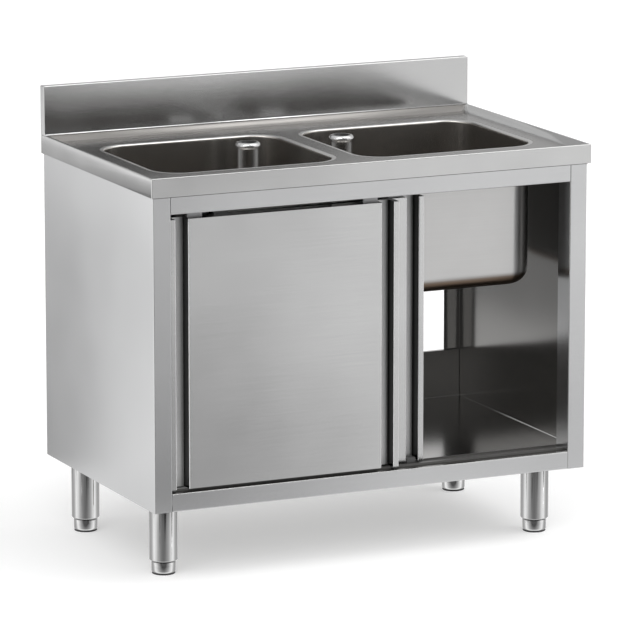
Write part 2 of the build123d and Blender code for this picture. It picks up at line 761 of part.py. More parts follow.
def fixed_parts():
    parts = {
        "worktop": worktop(),
        "splashback": splashback(),
        "worktop_brace": worktop_brace(),
        "front_top_rail": front_top_rail(),
        "back_top_rail": back_top_rail(),
        "bottom_shelf": bottom_shelf(),
        "back_panel_lower": back_panel_lower(),
        "shelf_stiffener_front": shelf_stiffener(LEG_FRONT_X, LEG_FRONT_Y),
        "shelf_stiffener_back": shelf_stiffener(LEG_BACK_X, LEG_BACK_Y),
        "door_track": door_track(),
        "track_stops": track_stops(),
        "track_screws": track_screws(),
        "door_guide_rail": door_guide_rail(),
        "leg_bolts": leg_bolts(),
    }
    for name, side in SIDES.items():
        parts[f"side_panel_{name}"] = side_panel(side)
        parts[f"bowl_{name}"] = bowl(side)
        parts[f"waste_body_{name}"] = waste_body(side)
        parts[f"waste_seal_{name}"] = waste_seal(side)
        parts[f"waste_nut_{name}"] = waste_nut(side)
        parts[f"standpipe_{name}"] = standpipe(side)
        parts[f"standpipe_seal_{name}"] = standpipe_seal(side)
    return parts


def leg_parts():
    parts = {}
    for name, (x, y) in LEGS.items():
        parts[f"leg_plate_{name}"] = leg_plate(x, y)
        parts[f"leg_tube_{name}"] = leg_tube(x, y)
        parts[f"foot_{name}"] = foot(x, y)
        parts[f"foot_pad_{name}"] = foot_pad(x, y)
    return parts


def door_parts():
    parts = {}
    for name, (x0, front) in DOORS.items():
        y = door_middle(front)
        hangers = {key: hanger_x(x0, side) for key, side in SIDES.items()}
        parts[f"door_{name}_skin"] = door_skin(x0, front)
        parts[f"door_{name}_liner"] = door_liner(x0, front)
        parts[f"axles_{name}"] = Compound([axle(x, y) for x in hangers.values()])
        parts[f"guide_shoes_{name}"] = guide_shoes(x0, y, *SHOES[name])
        for key, x in hangers.items():
            parts[f"hanger_{name}_{key}"] = hanger(x, y)
            parts[f"roller_{name}_{key}"] = roller(x, y)
    return parts


def main():
    os.makedirs("parts", exist_ok=True)
    for name, shape in {**fixed_parts(), **leg_parts(), **door_parts()}.items():
        export_step(shape, f"parts/{name}.step")


main()
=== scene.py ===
import json
import math

import bmesh
import bpy
from bpy.props import FloatProperty, FloatVectorProperty, PointerProperty
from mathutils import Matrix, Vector


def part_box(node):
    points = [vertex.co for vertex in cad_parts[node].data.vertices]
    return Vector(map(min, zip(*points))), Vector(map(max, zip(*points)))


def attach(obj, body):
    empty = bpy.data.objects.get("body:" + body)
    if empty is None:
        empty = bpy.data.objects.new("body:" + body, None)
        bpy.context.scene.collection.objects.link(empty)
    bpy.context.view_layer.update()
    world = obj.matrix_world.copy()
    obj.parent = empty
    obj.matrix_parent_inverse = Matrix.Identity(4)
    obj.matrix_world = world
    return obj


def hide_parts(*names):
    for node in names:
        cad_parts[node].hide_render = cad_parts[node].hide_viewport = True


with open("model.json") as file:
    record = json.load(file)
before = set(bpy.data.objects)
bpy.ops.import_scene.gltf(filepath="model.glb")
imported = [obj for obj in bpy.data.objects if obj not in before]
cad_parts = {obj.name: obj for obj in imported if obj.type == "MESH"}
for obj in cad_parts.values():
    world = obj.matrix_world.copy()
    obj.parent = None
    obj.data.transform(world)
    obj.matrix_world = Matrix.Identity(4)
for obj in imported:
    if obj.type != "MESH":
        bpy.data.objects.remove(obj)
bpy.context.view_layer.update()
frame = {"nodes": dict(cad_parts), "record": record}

bl_info = {
    "name": "Double bowl sink unit",
    "version": (1, 0, 0),
    "blender": (4, 5, 0),
    "location": "View3D > Sidebar > Sink unit",
    "description": "Finishes the sheet steel, the bowls, the doors and the legs of a sink unit",
    "category": "Object",
}

SIDES = ("left", "right")
CORNERS = ("front_left", "front_right", "back_left", "back_right")
DOORS = ("front", "rear")
SMOOTH_ANGLE = math.radians(32)
MERGE_DISTANCE = 1e-5


# ---------------------------------------------------------------- settings
class SteelSettings(bpy.types.PropertyGroup):
    """Colours and finish of the sheet steel."""

    worktop_colour: FloatVectorProperty(
        name="Worktop", description="Base colour of the worktop and splashback",
        subtype="COLOR", size=3, min=0, max=1, default=(0.61, 0.61, 0.608),
    )
    panel_colour: FloatVectorProperty(
        name="Panels", description="Base colour of the side panels, rails and shelf",
        subtype="COLOR", size=3, min=0, max=1, default=(0.61, 0.612, 0.617),
    )
    door_colour: FloatVectorProperty(
        name="Doors", description="Base colour of the door skins",
        subtype="COLOR", size=3, min=0, max=1, default=(0.61, 0.61, 0.61),
    )
    bowl_colour: FloatVectorProperty(
        name="Bowls", description="Base colour of the drawn bowls",
        subtype="COLOR", size=3, min=0, max=1, default=(0.61, 0.605, 0.60),
    )
    inner_colour: FloatVectorProperty(
        name="Inner sheet", description="Base colour of the sheet inside the cupboard",
        subtype="COLOR", size=3, min=0, max=1, default=(0.52, 0.515, 0.505),
    )
    polished_colour: FloatVectorProperty(
        name="Polished tube", description="Base colour of the standpipes and wastes",
        subtype="COLOR", size=3, min=0, max=1, default=(0.62, 0.62, 0.62),
    )
    # The lightest of the painted reflection bands on the legs and feet.
    tube_colour: FloatVectorProperty(
        name="Leg tube", description="Base colour of the lightest band on the legs",
        subtype="COLOR", size=3, min=0, max=1, default=(0.97, 0.97, 0.97),
    )
    satin_roughness: FloatProperty(
        name="Satin roughness", description="Roughness of the panels, doors and shelf",
        subtype="FACTOR", min=0, max=1, default=0.2,
    )
    worktop_roughness: FloatProperty(
        name="Worktop roughness", description="Roughness of the worktop and splashback",
        subtype="FACTOR", min=0, max=1, default=0.18,
    )
    bowl_roughness: FloatProperty(
        name="Bowl roughness", description="Roughness of the drawn bowls",
        subtype="FACTOR", min=0, max=1, default=0.33,
    )
    polished_roughness: FloatProperty(
        name="Polished roughness", description="Roughness of the standpipes and legs",
        subtype="FACTOR", min=0, max=1, default=0.16,
    )


class HardwareSettings(bpy.types.PropertyGroup):
    """Sizes of the bolts, screws, threads and spot welds."""

    bolt_head: FloatProperty(
        name="Bolt head", description="Half the width over the corners of a bolt head",
        subtype="DISTANCE", unit="LENGTH", min=0.001, max=0.02, default=0.0056,
    )
    bolt_height: FloatProperty(
        name="Bolt head height", description="Height of a bolt head and of its nut",
        subtype="DISTANCE", unit="LENGTH", min=0.001, max=0.01, default=0.003,
    )
    thread_pitch: FloatProperty(
        name="Thread pitch", description="Rise of the foot's and the waste's thread in one turn",
        subtype="DISTANCE", unit="LENGTH", min=0.0005, max=0.01, default=0.0023,
    )
    weld_spacing: FloatProperty(
        name="Weld spacing", description="Distance from one spot weld to the next",
        subtype="DISTANCE", unit="LENGTH", min=0.01, max=0.3, default=0.055,
    )
    weld_radius: FloatProperty(
        name="Weld radius", description="Radius of a spot weld",
        subtype="DISTANCE", unit="LENGTH", min=0.0005, max=0.01, default=0.0028,
    )


class StageSettings(bpy.types.PropertyGroup):
    """Floor, lamps and camera."""

    floor_colour: FloatVectorProperty(
        name="Floor", description="Colour of the floor",
        subtype="COLOR", size=3, min=0, max=1, default=(0.74, 0.74, 0.74),
    )
    world_fill: FloatProperty(
        name="World fill", description="Strength of the even light from all round",
        min=0, max=2, default=0.6,
    )
    key_strength: FloatProperty(
        name="Key lamp", description="Strength of the lamp at the upper left",
        min=0, max=10, default=1.1,
    )
    fill_strength: FloatProperty(
        name="Fill lamp", description="Strength of the lamp at the upper right",
        min=0, max=10, default=0.6,
    )
    top_strength: FloatProperty(
        name="Top lamp", description="Strength of the lamp overhead",
        min=0, max=10, default=0.6,
    )
    focal_length: FloatProperty(
        name="Focal length", description="Focal length in millimetres on a 36 mm sensor",
        min=10, max=1000, default=285.7,
    )
    card_spacing: FloatProperty(
        name="Card spacing", description="Spacing of the floor card's points beside the unit",
        subtype="DISTANCE", unit="LENGTH", min=0.01, max=0.5, default=0.03,
    )


# ---------------------------------------------------------------- node tools
SHARED = {}
WHITE = (1.0, 1.0, 1.0, 1.0)


def add_node(tree, kind, inputs=None, **settings):
    """Adds a node, sets its properties, then gives its inputs their values or links."""
    node = tree.nodes.new(kind)
    for name, value in settings.items():
        setattr(node, name, value)
    for name, value in (inputs or {}).items():
        if isinstance(value, bpy.types.NodeSocket):
            tree.links.new(value, node.inputs[name])
        else:
            node.inputs[name].default_value = value
    return node


def maths(tree, operation, a, b):
    return add_node(tree, "ShaderNodeMath", {0: a, 1: b}, operation=operation).outputs[0]


def new_group(name, kind, inputs, outputs):
    """A node group with named sockets, and its input and output nodes."""
    tree = bpy.data.node_groups.new(name, kind)
    for label, socket, value in inputs:
        made = tree.interface.new_socket(label, in_out="INPUT", socket_type=socket)
        if value is not None:
            made.default_value = value
    for label, socket in outputs:
        tree.interface.new_socket(label, in_out="OUTPUT", socket_type=socket)
    return tree, tree.nodes.new("NodeGroupInput"), tree.nodes.new("NodeGroupOutput")


def shared(maker):
    """The node tree that a function makes, made once."""
    if maker not in SHARED:
        SHARED[maker] = maker()
    return SHARED[maker]


def place_group(tree, maker, **values):
    """Places a shader group and sets its inputs, which are named in lower case here."""
    node = add_node(tree, "ShaderNodeGroup", node_tree=shared(maker))
    for name, value in values.items():
        node.inputs[name.replace("_", " ").capitalize()].default_value = value
    return node


# ---------------------------------------------------------------- shader groups
# Painted reflections on a round tube, as bands: how far its wall faces away, and how light the
# painted reflection is there, or at a standpipe's edges how matt the painted sheen makes it.
TUBE_REFLECTION_BANDS = [(0.02, 0.08), (0.032, 0.15), (0.057, 0.26), (0.10, 0.40), (0.17, 0.70), (0.27, 0.86),
              (0.40, 0.42), (0.62, 0.28), (0.90, 0.45)]
EDGE_SHEEN_BANDS = [(0.03, 0.0), (0.10, 0.10), (0.22, 0.55), (0.42, 1.0), (0.60, 0.35), (0.80, 0.1)]


def grain_group():
    """Fine parallel lines of a satin belt, long along the small scales."""
    tree, given, result = new_group(
        "Satin grain", "ShaderNodeTree",
        [("Stretch", "NodeSocketVector", (4.0, 400.0, 400.0))],
        [("Mask", "NodeSocketFloat")],
    )
    place = add_node(tree, "ShaderNodeTexCoord")
    lines = add_node(tree, "ShaderNodeVectorMath", {
        0: place.outputs["Object"], 1: given.outputs["Stretch"]}, operation="MULTIPLY")
    fine = add_node(tree, "ShaderNodeTexNoise", {
        "Vector": lines.outputs[0], "Scale": 1.0, "Detail": 5.0, "Roughness": 0.75})
    tree.links.new(fine.outputs["Fac"], result.inputs["Mask"])
    return tree


def cloud_group():
    """Wide soft patches, as of uneven polish and a sheet that isn't quite flat."""
    tree, given, result = new_group(
        "Cloudy polish", "ShaderNodeTree",
        [("Size", "NodeSocketFloat", 4.0), ("Detail", "NodeSocketFloat", 2.0)],
        [("Mask", "NodeSocketFloat"), ("Height", "NodeSocketFloat")],
    )
    place = add_node(tree, "ShaderNodeTexCoord")
    patches = add_node(tree, "ShaderNodeTexNoise", {
        "Vector": place.outputs["Object"], "Scale": given.outputs["Size"],
        "Detail": given.outputs["Detail"], "Roughness": 0.5})
    wider = add_node(tree, "ShaderNodeTexNoise", {
        "Vector": place.outputs["Object"], "Scale": given.outputs["Size"],
        "Detail": 0.0})
    clear = add_node(tree, "ShaderNodeMapRange", {
        "Value": patches.outputs["Fac"], "From Min": 0.32, "From Max": 0.68})
    tree.links.new(clear.outputs["Result"], result.inputs["Mask"])
    tree.links.new(wider.outputs["Fac"], result.inputs["Height"])
    return tree


def smudge_group():
    """Small scattered smears from handling and wiping."""
    tree, given, result = new_group(
        "Wiping marks", "ShaderNodeTree",
        [("Size", "NodeSocketFloat", 18.0), ("Amount", "NodeSocketFloat", 0.4)],
        [("Mask", "NodeSocketFloat")],
    )
    place = add_node(tree, "ShaderNodeTexCoord")
    bend = add_node(tree, "ShaderNodeTexNoise", {
        "Vector": place.outputs["Object"], "Scale": 5.0, "Detail": 1.0})
    moved = add_node(tree, "ShaderNodeVectorMath", {
        0: bend.outputs["Color"], 1: (0.12, 0.12, 0.12),
        2: place.outputs["Object"]}, operation="MULTIPLY_ADD")
    spots = add_node(tree, "ShaderNodeTexNoise", {
        "Vector": moved.outputs[0], "Scale": given.outputs["Size"],
        "Detail": 3.0, "Roughness": 0.6})
    edge = add_node(tree, "ShaderNodeMapRange", {
        "Value": spots.outputs["Fac"], "From Min": 0.56, "From Max": 0.72})
    scaled = maths(tree, "MULTIPLY", edge.outputs["Result"], given.outputs["Amount"])
    tree.links.new(scaled, result.inputs["Mask"])
    return tree


def painted_bands_group():
    """Painted reflections: light and dark bands that run down a round tube, from how far it faces
    away.
    """
    tree, given, result = new_group(
        "Tube bands", "ShaderNodeTree",
        [("Facing", "NodeSocketFloat", 0.0)],
        [("Tube", "NodeSocketFloat"), ("Edges", "NodeSocketFloat")])
    for label, table in (("Tube", TUBE_REFLECTION_BANDS), ("Edges", EDGE_SHEEN_BANDS)):
        ramp = add_node(tree, "ShaderNodeValToRGB", {"Fac": given.outputs["Facing"]})
        points = ramp.color_ramp.elements
        points.remove(points[-1])
        for k, (place, value) in enumerate(table):
            point = points.new(place) if k else points[0]
            point.position = place
            point.color = (value, value, value, 1.0)
        tree.links.new(ramp.outputs["Color"], result.inputs[label])
    return tree


def mould_group():
    """Fine even texture of a moulded surface."""
    tree, given, result = new_group(
        "Moulded texture", "ShaderNodeTree",
        [("Scale", "NodeSocketFloat", 900.0)],
        [("Mask", "NodeSocketFloat")],
    )
    place = add_node(tree, "ShaderNodeTexCoord")
    bumps = add_node(tree, "ShaderNodeTexNoise", {
        "Vector": place.outputs["Object"], "Scale": given.outputs["Scale"], "Detail": 2.0})
    tree.links.new(bumps.outputs["Fac"], result.inputs["Mask"])
    return tree


def new_material(name, metallic):
    """A material with its node tree and its shader."""
    material = bpy.data.materials.new(name)
    material.use_nodes = True
    shader = material.node_tree.nodes["Principled BSDF"]
    shader.inputs["Metallic"].default_value = metallic
    return material, material.node_tree, shader


def mix_colours(tree, factor, a, b, blend="MIX"):
    """A colour between two, or their product; each is a socket or a plain colour."""
    node = tree.nodes.new("ShaderNodeMix")
    node.data_type = "RGBA"
    node.blend_type = blend
    for value, socket in ((factor, node.inputs[0]), (a, node.inputs[6]), (b, node.inputs[7])):
        if isinstance(value, bpy.types.NodeSocket):
            tree.links.new(value, socket)
        elif isinstance(value, float):
            socket.default_value = value
        else:
            socket.default_value = (*value, 1.0)
    return node.outputs[2]


def multiply_colours(tree, a, b):
    return mix_colours(tree, 1.0, a, b, "MULTIPLY")


def stored(tree, name):
    """A value that is stored on the mesh."""
    return add_node(tree, "ShaderNodeAttribute", attribute_name=name).outputs["Fac"]


def tone(colour, factor):
    return [min(1.0, factor * c) for c in colour]


def steel(name, colour, roughness, stretch, grain=0.06, cloud=0.05, size=4.0,
          wave=0.00015, grain_depth=0.00001, inner=(0.30, 0.295, 0.287), painted_shade_roughness=0.15,
          sheen=0.0, painted_reflections=False, dim=(0.5, 0.5, 0.5), painted_light_roughness=None):
    """Satin or polished steel with grain, cloudy polish and a slight wave.

    Where the mesh stores a share of painted shade it takes the painted shade's colour and
    roughness, and where it stores a share of painted light its colour is multiplied by a tint,
    below one for painted shade and above one for a painted highlight, and it may take that tint's
    roughness. A painted sheen makes the edges of a tube less metallic so that they show light
    bands, and a tube with painted reflections has light and dark bands in its colour.
    """
    material, tree, shader = new_material(name, 1.0)
    lines = place_group(tree, grain_group, stretch=stretch)
    patches = place_group(tree, cloud_group, size=size, detail=2.0)
    # Shares of painted shade and of painted light that the mesh stores.
    inside, light_share = stored(tree, "inner"), stored(tree, "dim")
    face = mix_colours(tree, inside, tuple(colour), inner)
    face = multiply_colours(tree, face, mix_colours(tree, light_share, (1.0, 1.0, 1.0), dim))
    darker = mix_colours(tree, lines.outputs["Mask"], [1 - grain] * 3, [1 + grain] * 3)
    cloudy = mix_colours(tree, patches.outputs["Mask"], [1 - cloud] * 3, [1 + cloud] * 3)
    # Painted reflections: light and dark bands multiplied into a tube's colour.
    if painted_reflections:
        face = multiply_colours(tree, face, painted_bands(tree, "Tube"))
    grained = multiply_colours(tree, face, darker)
    tree.links.new(multiply_colours(tree, grained, cloudy), shader.inputs["Base Color"])
    rough = add_node(tree, "ShaderNodeMapRange", {
        "Value": patches.outputs["Mask"],
        "To Min": roughness * 0.88, "To Max": roughness * 1.12})
    # Painted sheen: light bands at a tube's edges, where it is made less metallic.
    if sheen:
        metal = add_node(tree, "ShaderNodeMapRange", {
            "Value": painted_bands(tree, "Edges"), "To Min": 1.0, "To Max": 1.0 - sheen})
        tree.links.new(metal.outputs["Result"], shader.inputs["Metallic"])
    duller = add_node(tree, "ShaderNodeMix", {
        0: inside, 2: rough.outputs["Result"], 3: painted_shade_roughness})
    if painted_light_roughness is not None:
        duller = add_node(tree, "ShaderNodeMix", {0: light_share, 2: duller.outputs[0], 3: painted_light_roughness})
    tree.links.new(duller.outputs[0], shader.inputs["Roughness"])
    fine = add_node(tree, "ShaderNodeBump", {
        "Strength": 1.0, "Distance": grain_depth, "Height": lines.outputs["Mask"]})
    wide = add_node(tree, "ShaderNodeBump", {
        "Strength": 1.0, "Distance": wave, "Height": patches.outputs["Height"],
        "Normal": fine.outputs["Normal"]})
    tree.links.new(wide.outputs["Normal"], shader.inputs["Normal"])
    return material


def painted_bands(tree, label):
    """One of the masks of painted reflection bands, driven by how far the surface faces away."""
    facing = tree.nodes.new("ShaderNodeLayerWeight")
    bands = place_group(tree, painted_bands_group)
    tree.links.new(facing.outputs["Facing"], bands.inputs["Facing"])
    return bands.outputs[label]


def moulded(name, colour, roughness, scale, depth, metallic=0.0, variation=0.06):
    """Moulded plastic, rubber or plated steel with a fine texture and faint marks."""
    material, tree, shader = new_material(name, metallic)
    texture = place_group(tree, mould_group, scale=scale)
    smears = place_group(tree, smudge_group, size=60.0, amount=1.0)
    toned = mix_colours(
        tree, texture.outputs["Mask"], tone(colour, 1 - variation), tone(colour, 1 + variation))
    tree.links.new(toned, shader.inputs["Base Color"])
    rough = add_node(tree, "ShaderNodeMapRange", {
        "Value": smears.outputs["Mask"], "To Min": roughness, "To Max": min(1.0, roughness + 0.12)})
    tree.links.new(rough.outputs["Result"], shader.inputs["Roughness"])
    bump = add_node(tree, "ShaderNodeBump", {
        "Strength": 0.6, "Distance": depth, "Height": texture.outputs["Mask"]})
    tree.links.new(bump.outputs["Normal"], shader.inputs["Normal"])
    return material


MATERIALS = {}
GRAIN_X = (6.0, 520.0, 520.0)
GRAIN_Z = (520.0, 520.0, 6.0)


def finish(slot):
    """The material of a record slot, made once."""
    looks = bpy.context.scene.sink_steel
    makers = {
        # Worktop: painted shade, darker and rougher, on the slope behind the bowls, and painted
        # shade on the flat dish floor for the splashback's dark reflection.
        "worktop_steel": lambda: steel(
            slot, looks.worktop_colour, looks.worktop_roughness, GRAIN_X, size=5.0,
            inner=(0.42, 0.405, 0.39), painted_shade_roughness=0.5, dim=(0.42, 0.41, 0.40)),
        # Bowls: painted shade, darker and warmer, inside each bowl, and brown painted shade under
        # its lower bend.
        "bowl_steel": lambda: steel(
            slot, looks.bowl_colour, looks.bowl_roughness, GRAIN_X, grain=0.05, size=7.0,
            inner=(0.47, 0.45, 0.425), painted_shade_roughness=0.26, dim=(0.26, 0.19, 0.14)),
        # Panels, rails and shelf: painted shade where they look into the cupboard, and painted
        # shade at half tone on the side panels' faces there, darker toward the top, and on the top
        # rail's parts inside.
        "panel_steel": lambda: steel(
            slot, looks.panel_colour, looks.satin_roughness, GRAIN_X, size=2.5),
        # Doors: near-black painted shade in the grips, and painted highlight, lighter and rougher,
        # on the skin's bends and the grips' floors.
        "door_steel": lambda: steel(
            slot, looks.door_colour, looks.satin_roughness, GRAIN_X, grain=0.07,
            inner=(0.012, 0.012, 0.011), dim=(1.5, 1.5, 1.5), painted_light_roughness=0.55),
        # The cupboard sheet: painted shade where its faces look into the cupboard.
        "inner_steel": lambda: steel(slot, looks.inner_colour, looks.satin_roughness, GRAIN_X),
        # Track: painted shade, near black, for the shade it hangs in under the top rail.
        "track_aluminium": lambda: steel(
            slot, (0.006, 0.006, 0.006), 0.4, GRAIN_X, wave=0.0001),
        "waste_steel": lambda: steel(
            slot, looks.polished_colour, 0.22, (300.0, 300.0, 300.0), wave=0.00005, size=20.0),
        # Standpipes: painted shade, near black, on the wall of the bore, and painted sheen at the
        # edges.
        "pipe_steel": lambda: steel(
            slot, looks.polished_colour, looks.polished_roughness, GRAIN_Z,
            grain=0.03, cloud=0.03, wave=0.00003, size=20.0, inner=(0.02, 0.02, 0.02), sheen=0.5),
        # Legs and feet: painted reflections, light and dark bands in the colour.
        "leg_steel": lambda: steel(
            slot, looks.tube_colour, looks.polished_roughness, GRAIN_Z,
            grain=0.03, cloud=0.03, wave=0.0, size=20.0, grain_depth=0.000003, painted_reflections=True),
        "zinc_plated_steel": lambda: moulded(
            slot, (0.32, 0.32, 0.325), 0.34, 700.0, 0.00002, metallic=1.0),
        "roller_plastic": lambda: moulded(slot, (0.60, 0.60, 0.58), 0.42, 900.0, 0.00002),
        # Guide rail: dark plastic, made darker still as painted shade under the doors.
        "guide_plastic": lambda: moulded(slot, (0.085, 0.083, 0.08), 0.30, 900.0, 0.00002),
        "shoe_plastic": lambda: moulded(slot, (0.10, 0.10, 0.10), 0.40, 900.0, 0.00002),
        "nut_plastic": lambda: moulded(slot, (0.70, 0.70, 0.69), 0.45, 900.0, 0.00003),
        "stop_rubber": lambda: moulded(slot, (0.030, 0.030, 0.030), 0.62, 1100.0, 0.00006),
        "seal_rubber": lambda: moulded(slot, (0.035, 0.035, 0.035), 0.60, 1100.0, 0.00006),
        "pad_rubber": lambda: moulded(slot, (0.020, 0.020, 0.021), 0.58, 1100.0, 0.00006),
    }
    if slot not in MATERIALS:
        MATERIALS[slot] = makers[slot]()
    return MATERIALS[slot]


# ---------------------------------------------------------------- piece tools
# Sizes that the CAD gives the pieces: a door's end strip and its grips with their rims, half the
# width of the doorway, a bowl's lower bend, the worktop's dish, the margin of the leg plates'
# bolts, the gap between a foot and its leg, the depth that the cabinet's outer back faces lie in,
# and the thickness of the cabinet's sheet.
END_STRIP = 0.0125
GRIP_WIDTH = 0.0275
GRIP_DEPTH = 0.028
GRIP_RIM = 0.002
DOORWAY_HALF = 0.4553
BOWL_BEND = 0.035
DISH_DEPTH = 0.008
BOLT_MARGIN = 0.011
FOOT_GAP = 0.0007
BACK_DEPTH = 0.01
SHEET = 0.001
# Height over a bowl's middle of the point that the faces within it look at, for the painted shade
# there. Share of the painted shade on a grip's floor at the grip's left edge and its rise over the
# width, and on its side walls.
BOWL_LIFT = 0.03
LEFT_GRIP = (-1.6, 2.3)
RIGHT_GRIP = (-2.6, 3.6)
GRIP_WALL = 1.1
SLOT_OF = {p["node"]: p["material_slot"] for p in frame["record"]["subparts"]}
BODY_OF = {node: body for body, nodes in frame["record"]["behaviour"]["bodies"].items()
           for node in nodes}


def dress(node):
    """Gives a CAD node that keeps its mesh the finish of its slot."""
    materials = frame["nodes"][node].data.materials
    materials.clear()
    materials.append(finish(SLOT_OF[node]))


def add_object(name, data):
    """Links a mesh, a lamp or a camera to the scene."""
    added = bpy.data.objects.new(name, data)
    bpy.context.scene.collection.objects.link(added)
    return added


def add_piece(name, mesh, body, nodes=()):
    """Links a mesh as a piece on a body, in place of CAD nodes where it stands for some."""
    piece = add_object(name, mesh)
    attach(piece, body)
    if nodes:
        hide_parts(*nodes)
    return piece


def shade(mesh):
    """Soft shading over the bends, with sharp edges where faces meet past the smooth angle."""
    mesh.shade_smooth()
    mesh.set_sharp_from_angle(angle=SMOOTH_ANGLE)


def smooth(node):
    """Replaces a node by the same shape with joined faces and soft shading on its bends."""
    source = frame["nodes"][node]
    shape = bmesh.new()
    shape.from_mesh(source.data)
    bmesh.ops.remove_doubles(shape, verts=shape.verts, dist=MERGE_DISTANCE)
    mesh = bpy.data.meshes.new(node + "_sheet")
    shape.to_mesh(mesh)
    shape.free()
    mark_faces(mesh, node)
    mesh.materials.append(finish(SLOT_OF[node]))
    shade(mesh)
    holder = add_object(node + "_holder", mesh)
    weights = holder.modifiers.new("Normals", "WEIGHTED_NORMAL")
    weights.keep_sharp = True
    weights.weight = 100
    flat = applied_mesh(holder)
    flat.name = node + "_mesh"
    return add_piece(node + "_finished", flat, BODY_OF[node], [node])


def bowl_hollow_shade(node):
    """A rule for the painted shade inside a bowl: 1 on the faces that look into it."""
    middle = centre_of(node) + Vector((0, 0, BOWL_LIFT))

    def share(face, place):
        inward = (middle - face.center).normalized().dot(face.normal)
        return fade(0.15, 0.5, inward) * (face.normal.z > -0.3)
    return share


def worktop_slope_shade(node):
    """A rule for the painted shade on the slope behind the bowls: 1 there."""
    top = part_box(node)[1].z

    def share(face, place):
        sloping = 0.6 < face.normal.z < 0.97 and face.normal.y < -0.3
        return float(sloping and face.center.z < top - SHEET / 2)
    return share


def cupboard_shade(node):
    """A rule for the painted shade inside the cupboard: 1 on the faces of the folded sheets that
    look into it.
    """
    low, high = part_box("side_panel_left")[0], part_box("side_panel_right")[1]
    margin, back = SHEET / 2, high.y - BACK_DEPTH

    def share(face, place):
        at, looks = face.center, face.normal
        between_sides = abs(at.x) < high.x - margin
        outer_back = looks.y > 0.5 and at.y > back
        behind_front = low.y + margin < at.y < high.y - margin and not outer_back
        doorway = abs(looks.x) > 0.5 and abs(at.x) < DOORWAY_HALF
        return float(between_sides and behind_front and not doorway)
    return share


def grip_recess_shade(node):
    """A rule for the painted shade in each grip of a door: darker on its floor toward its right,
    and on its side walls.
    """
    low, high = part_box(node)
    middle = (low.x + high.x) / 2
    left, right = low.x + END_STRIP, high.x - END_STRIP - GRIP_WIDTH

    def share(face, place):
        if place.y - low.y < GRIP_RIM:
            return 0.0
        if abs(face.normal.x) > 0.9:
            return GRIP_WALL
        edge, (start, rise) = (left, LEFT_GRIP) if place.x < middle else (right, RIGHT_GRIP)
        return start + rise * (place.x - edge) / GRIP_WIDTH
    return share


def bore_shade(node):
    """A rule for the painted shade in a tube's bore: 1 on the wall of the bore."""
    middle = centre_of(node)

    def share(face, place):
        outward = face.center - middle
        return float(outward.x * face.normal.x + outward.y * face.normal.y < -0.001)
    return share


def bowl_underside_shade(node):
    """A rule for the painted shade under a bowl: brown, darker toward the bottom, on the outside of
    its lower bend.
    """
    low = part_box(node)[0]
    middle = centre_of(node)

    def share(face, place):
        outward = (middle - face.center).normalized().dot(face.normal) < 0
        bent = outward and -0.99 < face.normal.z < -0.01
        return bent * fade(0.1, 0.4, (low.z + BOWL_BEND - place.z) / BOWL_BEND)
    return share


def worktop_floor_shade(node):
    """A rule for the painted shade on the flat floor of the worktop, standing for the splashback's
    dark reflection: 1 there.
    """
    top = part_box(node)[1].z

    def share(face, place):
        return float(face.normal.z > 0.99 and place.z < top - DISH_DEPTH)
    return share


def rail_inside_shade(node):
    """A rule for the painted shade on the parts of the top rail that look into the cupboard: 1
    there.
    """
    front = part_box(node)[0].y

    def share(face, place):
        return float(face.center.y > front + 2 * SHEET and face.normal.y > -0.5)
    return share


def side_top_shade(node):
    """A rule that paints shade on a side panel's face toward the cupboard, darker toward its top.
    """
    low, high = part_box(node)
    margin = 2 * SHEET

    def share(face, place):
        inner = abs(face.normal.x) > 0.9 and face.center.x * face.normal.x < 0
        wide = low.y + margin < face.center.y < high.y - margin
        return inner * wide * (place.z - low.z) / (high.z - low.z)
    return share


def door_painted_highlight(node):
    """A rule for the painted highlight on a door: 1 on the floor of each grip and on the bends of
    its skin.
    """
    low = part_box(node)[0]

    def share(face, place):
        depth = face.center.y - low.y
        floor = face.normal.y < -0.9 and 0.8 * GRIP_DEPTH < depth < GRIP_DEPTH + SHEET
        bend = -0.95 < face.normal.y < -0.2 and depth < GRIP_RIM
        return float(floor or bend)
    return share


# Rules for the painted shade and for the painted light, by the start of a node's name.
PAINTED_SHADE_RULES = {
    "worktop": worktop_slope_shade, "bowl": bowl_hollow_shade, "side_panel": cupboard_shade,
    "front_top_rail": cupboard_shade, "bottom_shelf": cupboard_shade,
    "back_panel_lower": cupboard_shade, "door": grip_recess_shade, "standpipe": bore_shade,
}
PAINTED_LIGHT_RULES = {
    "worktop": worktop_floor_shade, "bowl": bowl_underside_shade, "side_panel": side_top_shade, "front_top_rail": rail_inside_shade,
    "door": door_painted_highlight,
}


def mark_faces(mesh, node):
    """Stores on each corner of a sheet how much painted shade and how much painted light its face
    takes.
    """
    for label, table in (("inner", PAINTED_SHADE_RULES), ("dim", PAINTED_LIGHT_RULES)):
        rules = [rule for start, rule in table.items() if node.startswith(start)]
        if not rules:
            continue
        share = rules[0](node)
        shares = [share(face, mesh.vertices[v].co)
                  for face in mesh.polygons for v in face.vertices]
        mesh.attributes.new(label, "FLOAT", "CORNER").data.foreach_set("value", shares)


def fade(low, high, value):
    """0 below low, 1 above high and smooth between them."""
    t = min(1.0, max(0.0, (value - low) / (high - low)))
    return t * t * (3 - 2 * t)


def applied_mesh(holder):
    """The mesh that an object's modifiers give; the object goes."""
    bpy.context.view_layer.update()
    graph = bpy.context.evaluated_depsgraph_get()
    mesh = bpy.data.meshes.new_from_object(
        holder.evaluated_get(graph), preserve_all_data_layers=True, depsgraph=graph)
    holder.modifiers.clear()
    bpy.data.objects.remove(holder)
    return mesh


def centre_of(node):
    low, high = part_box(node)
    return (low + high) / 2


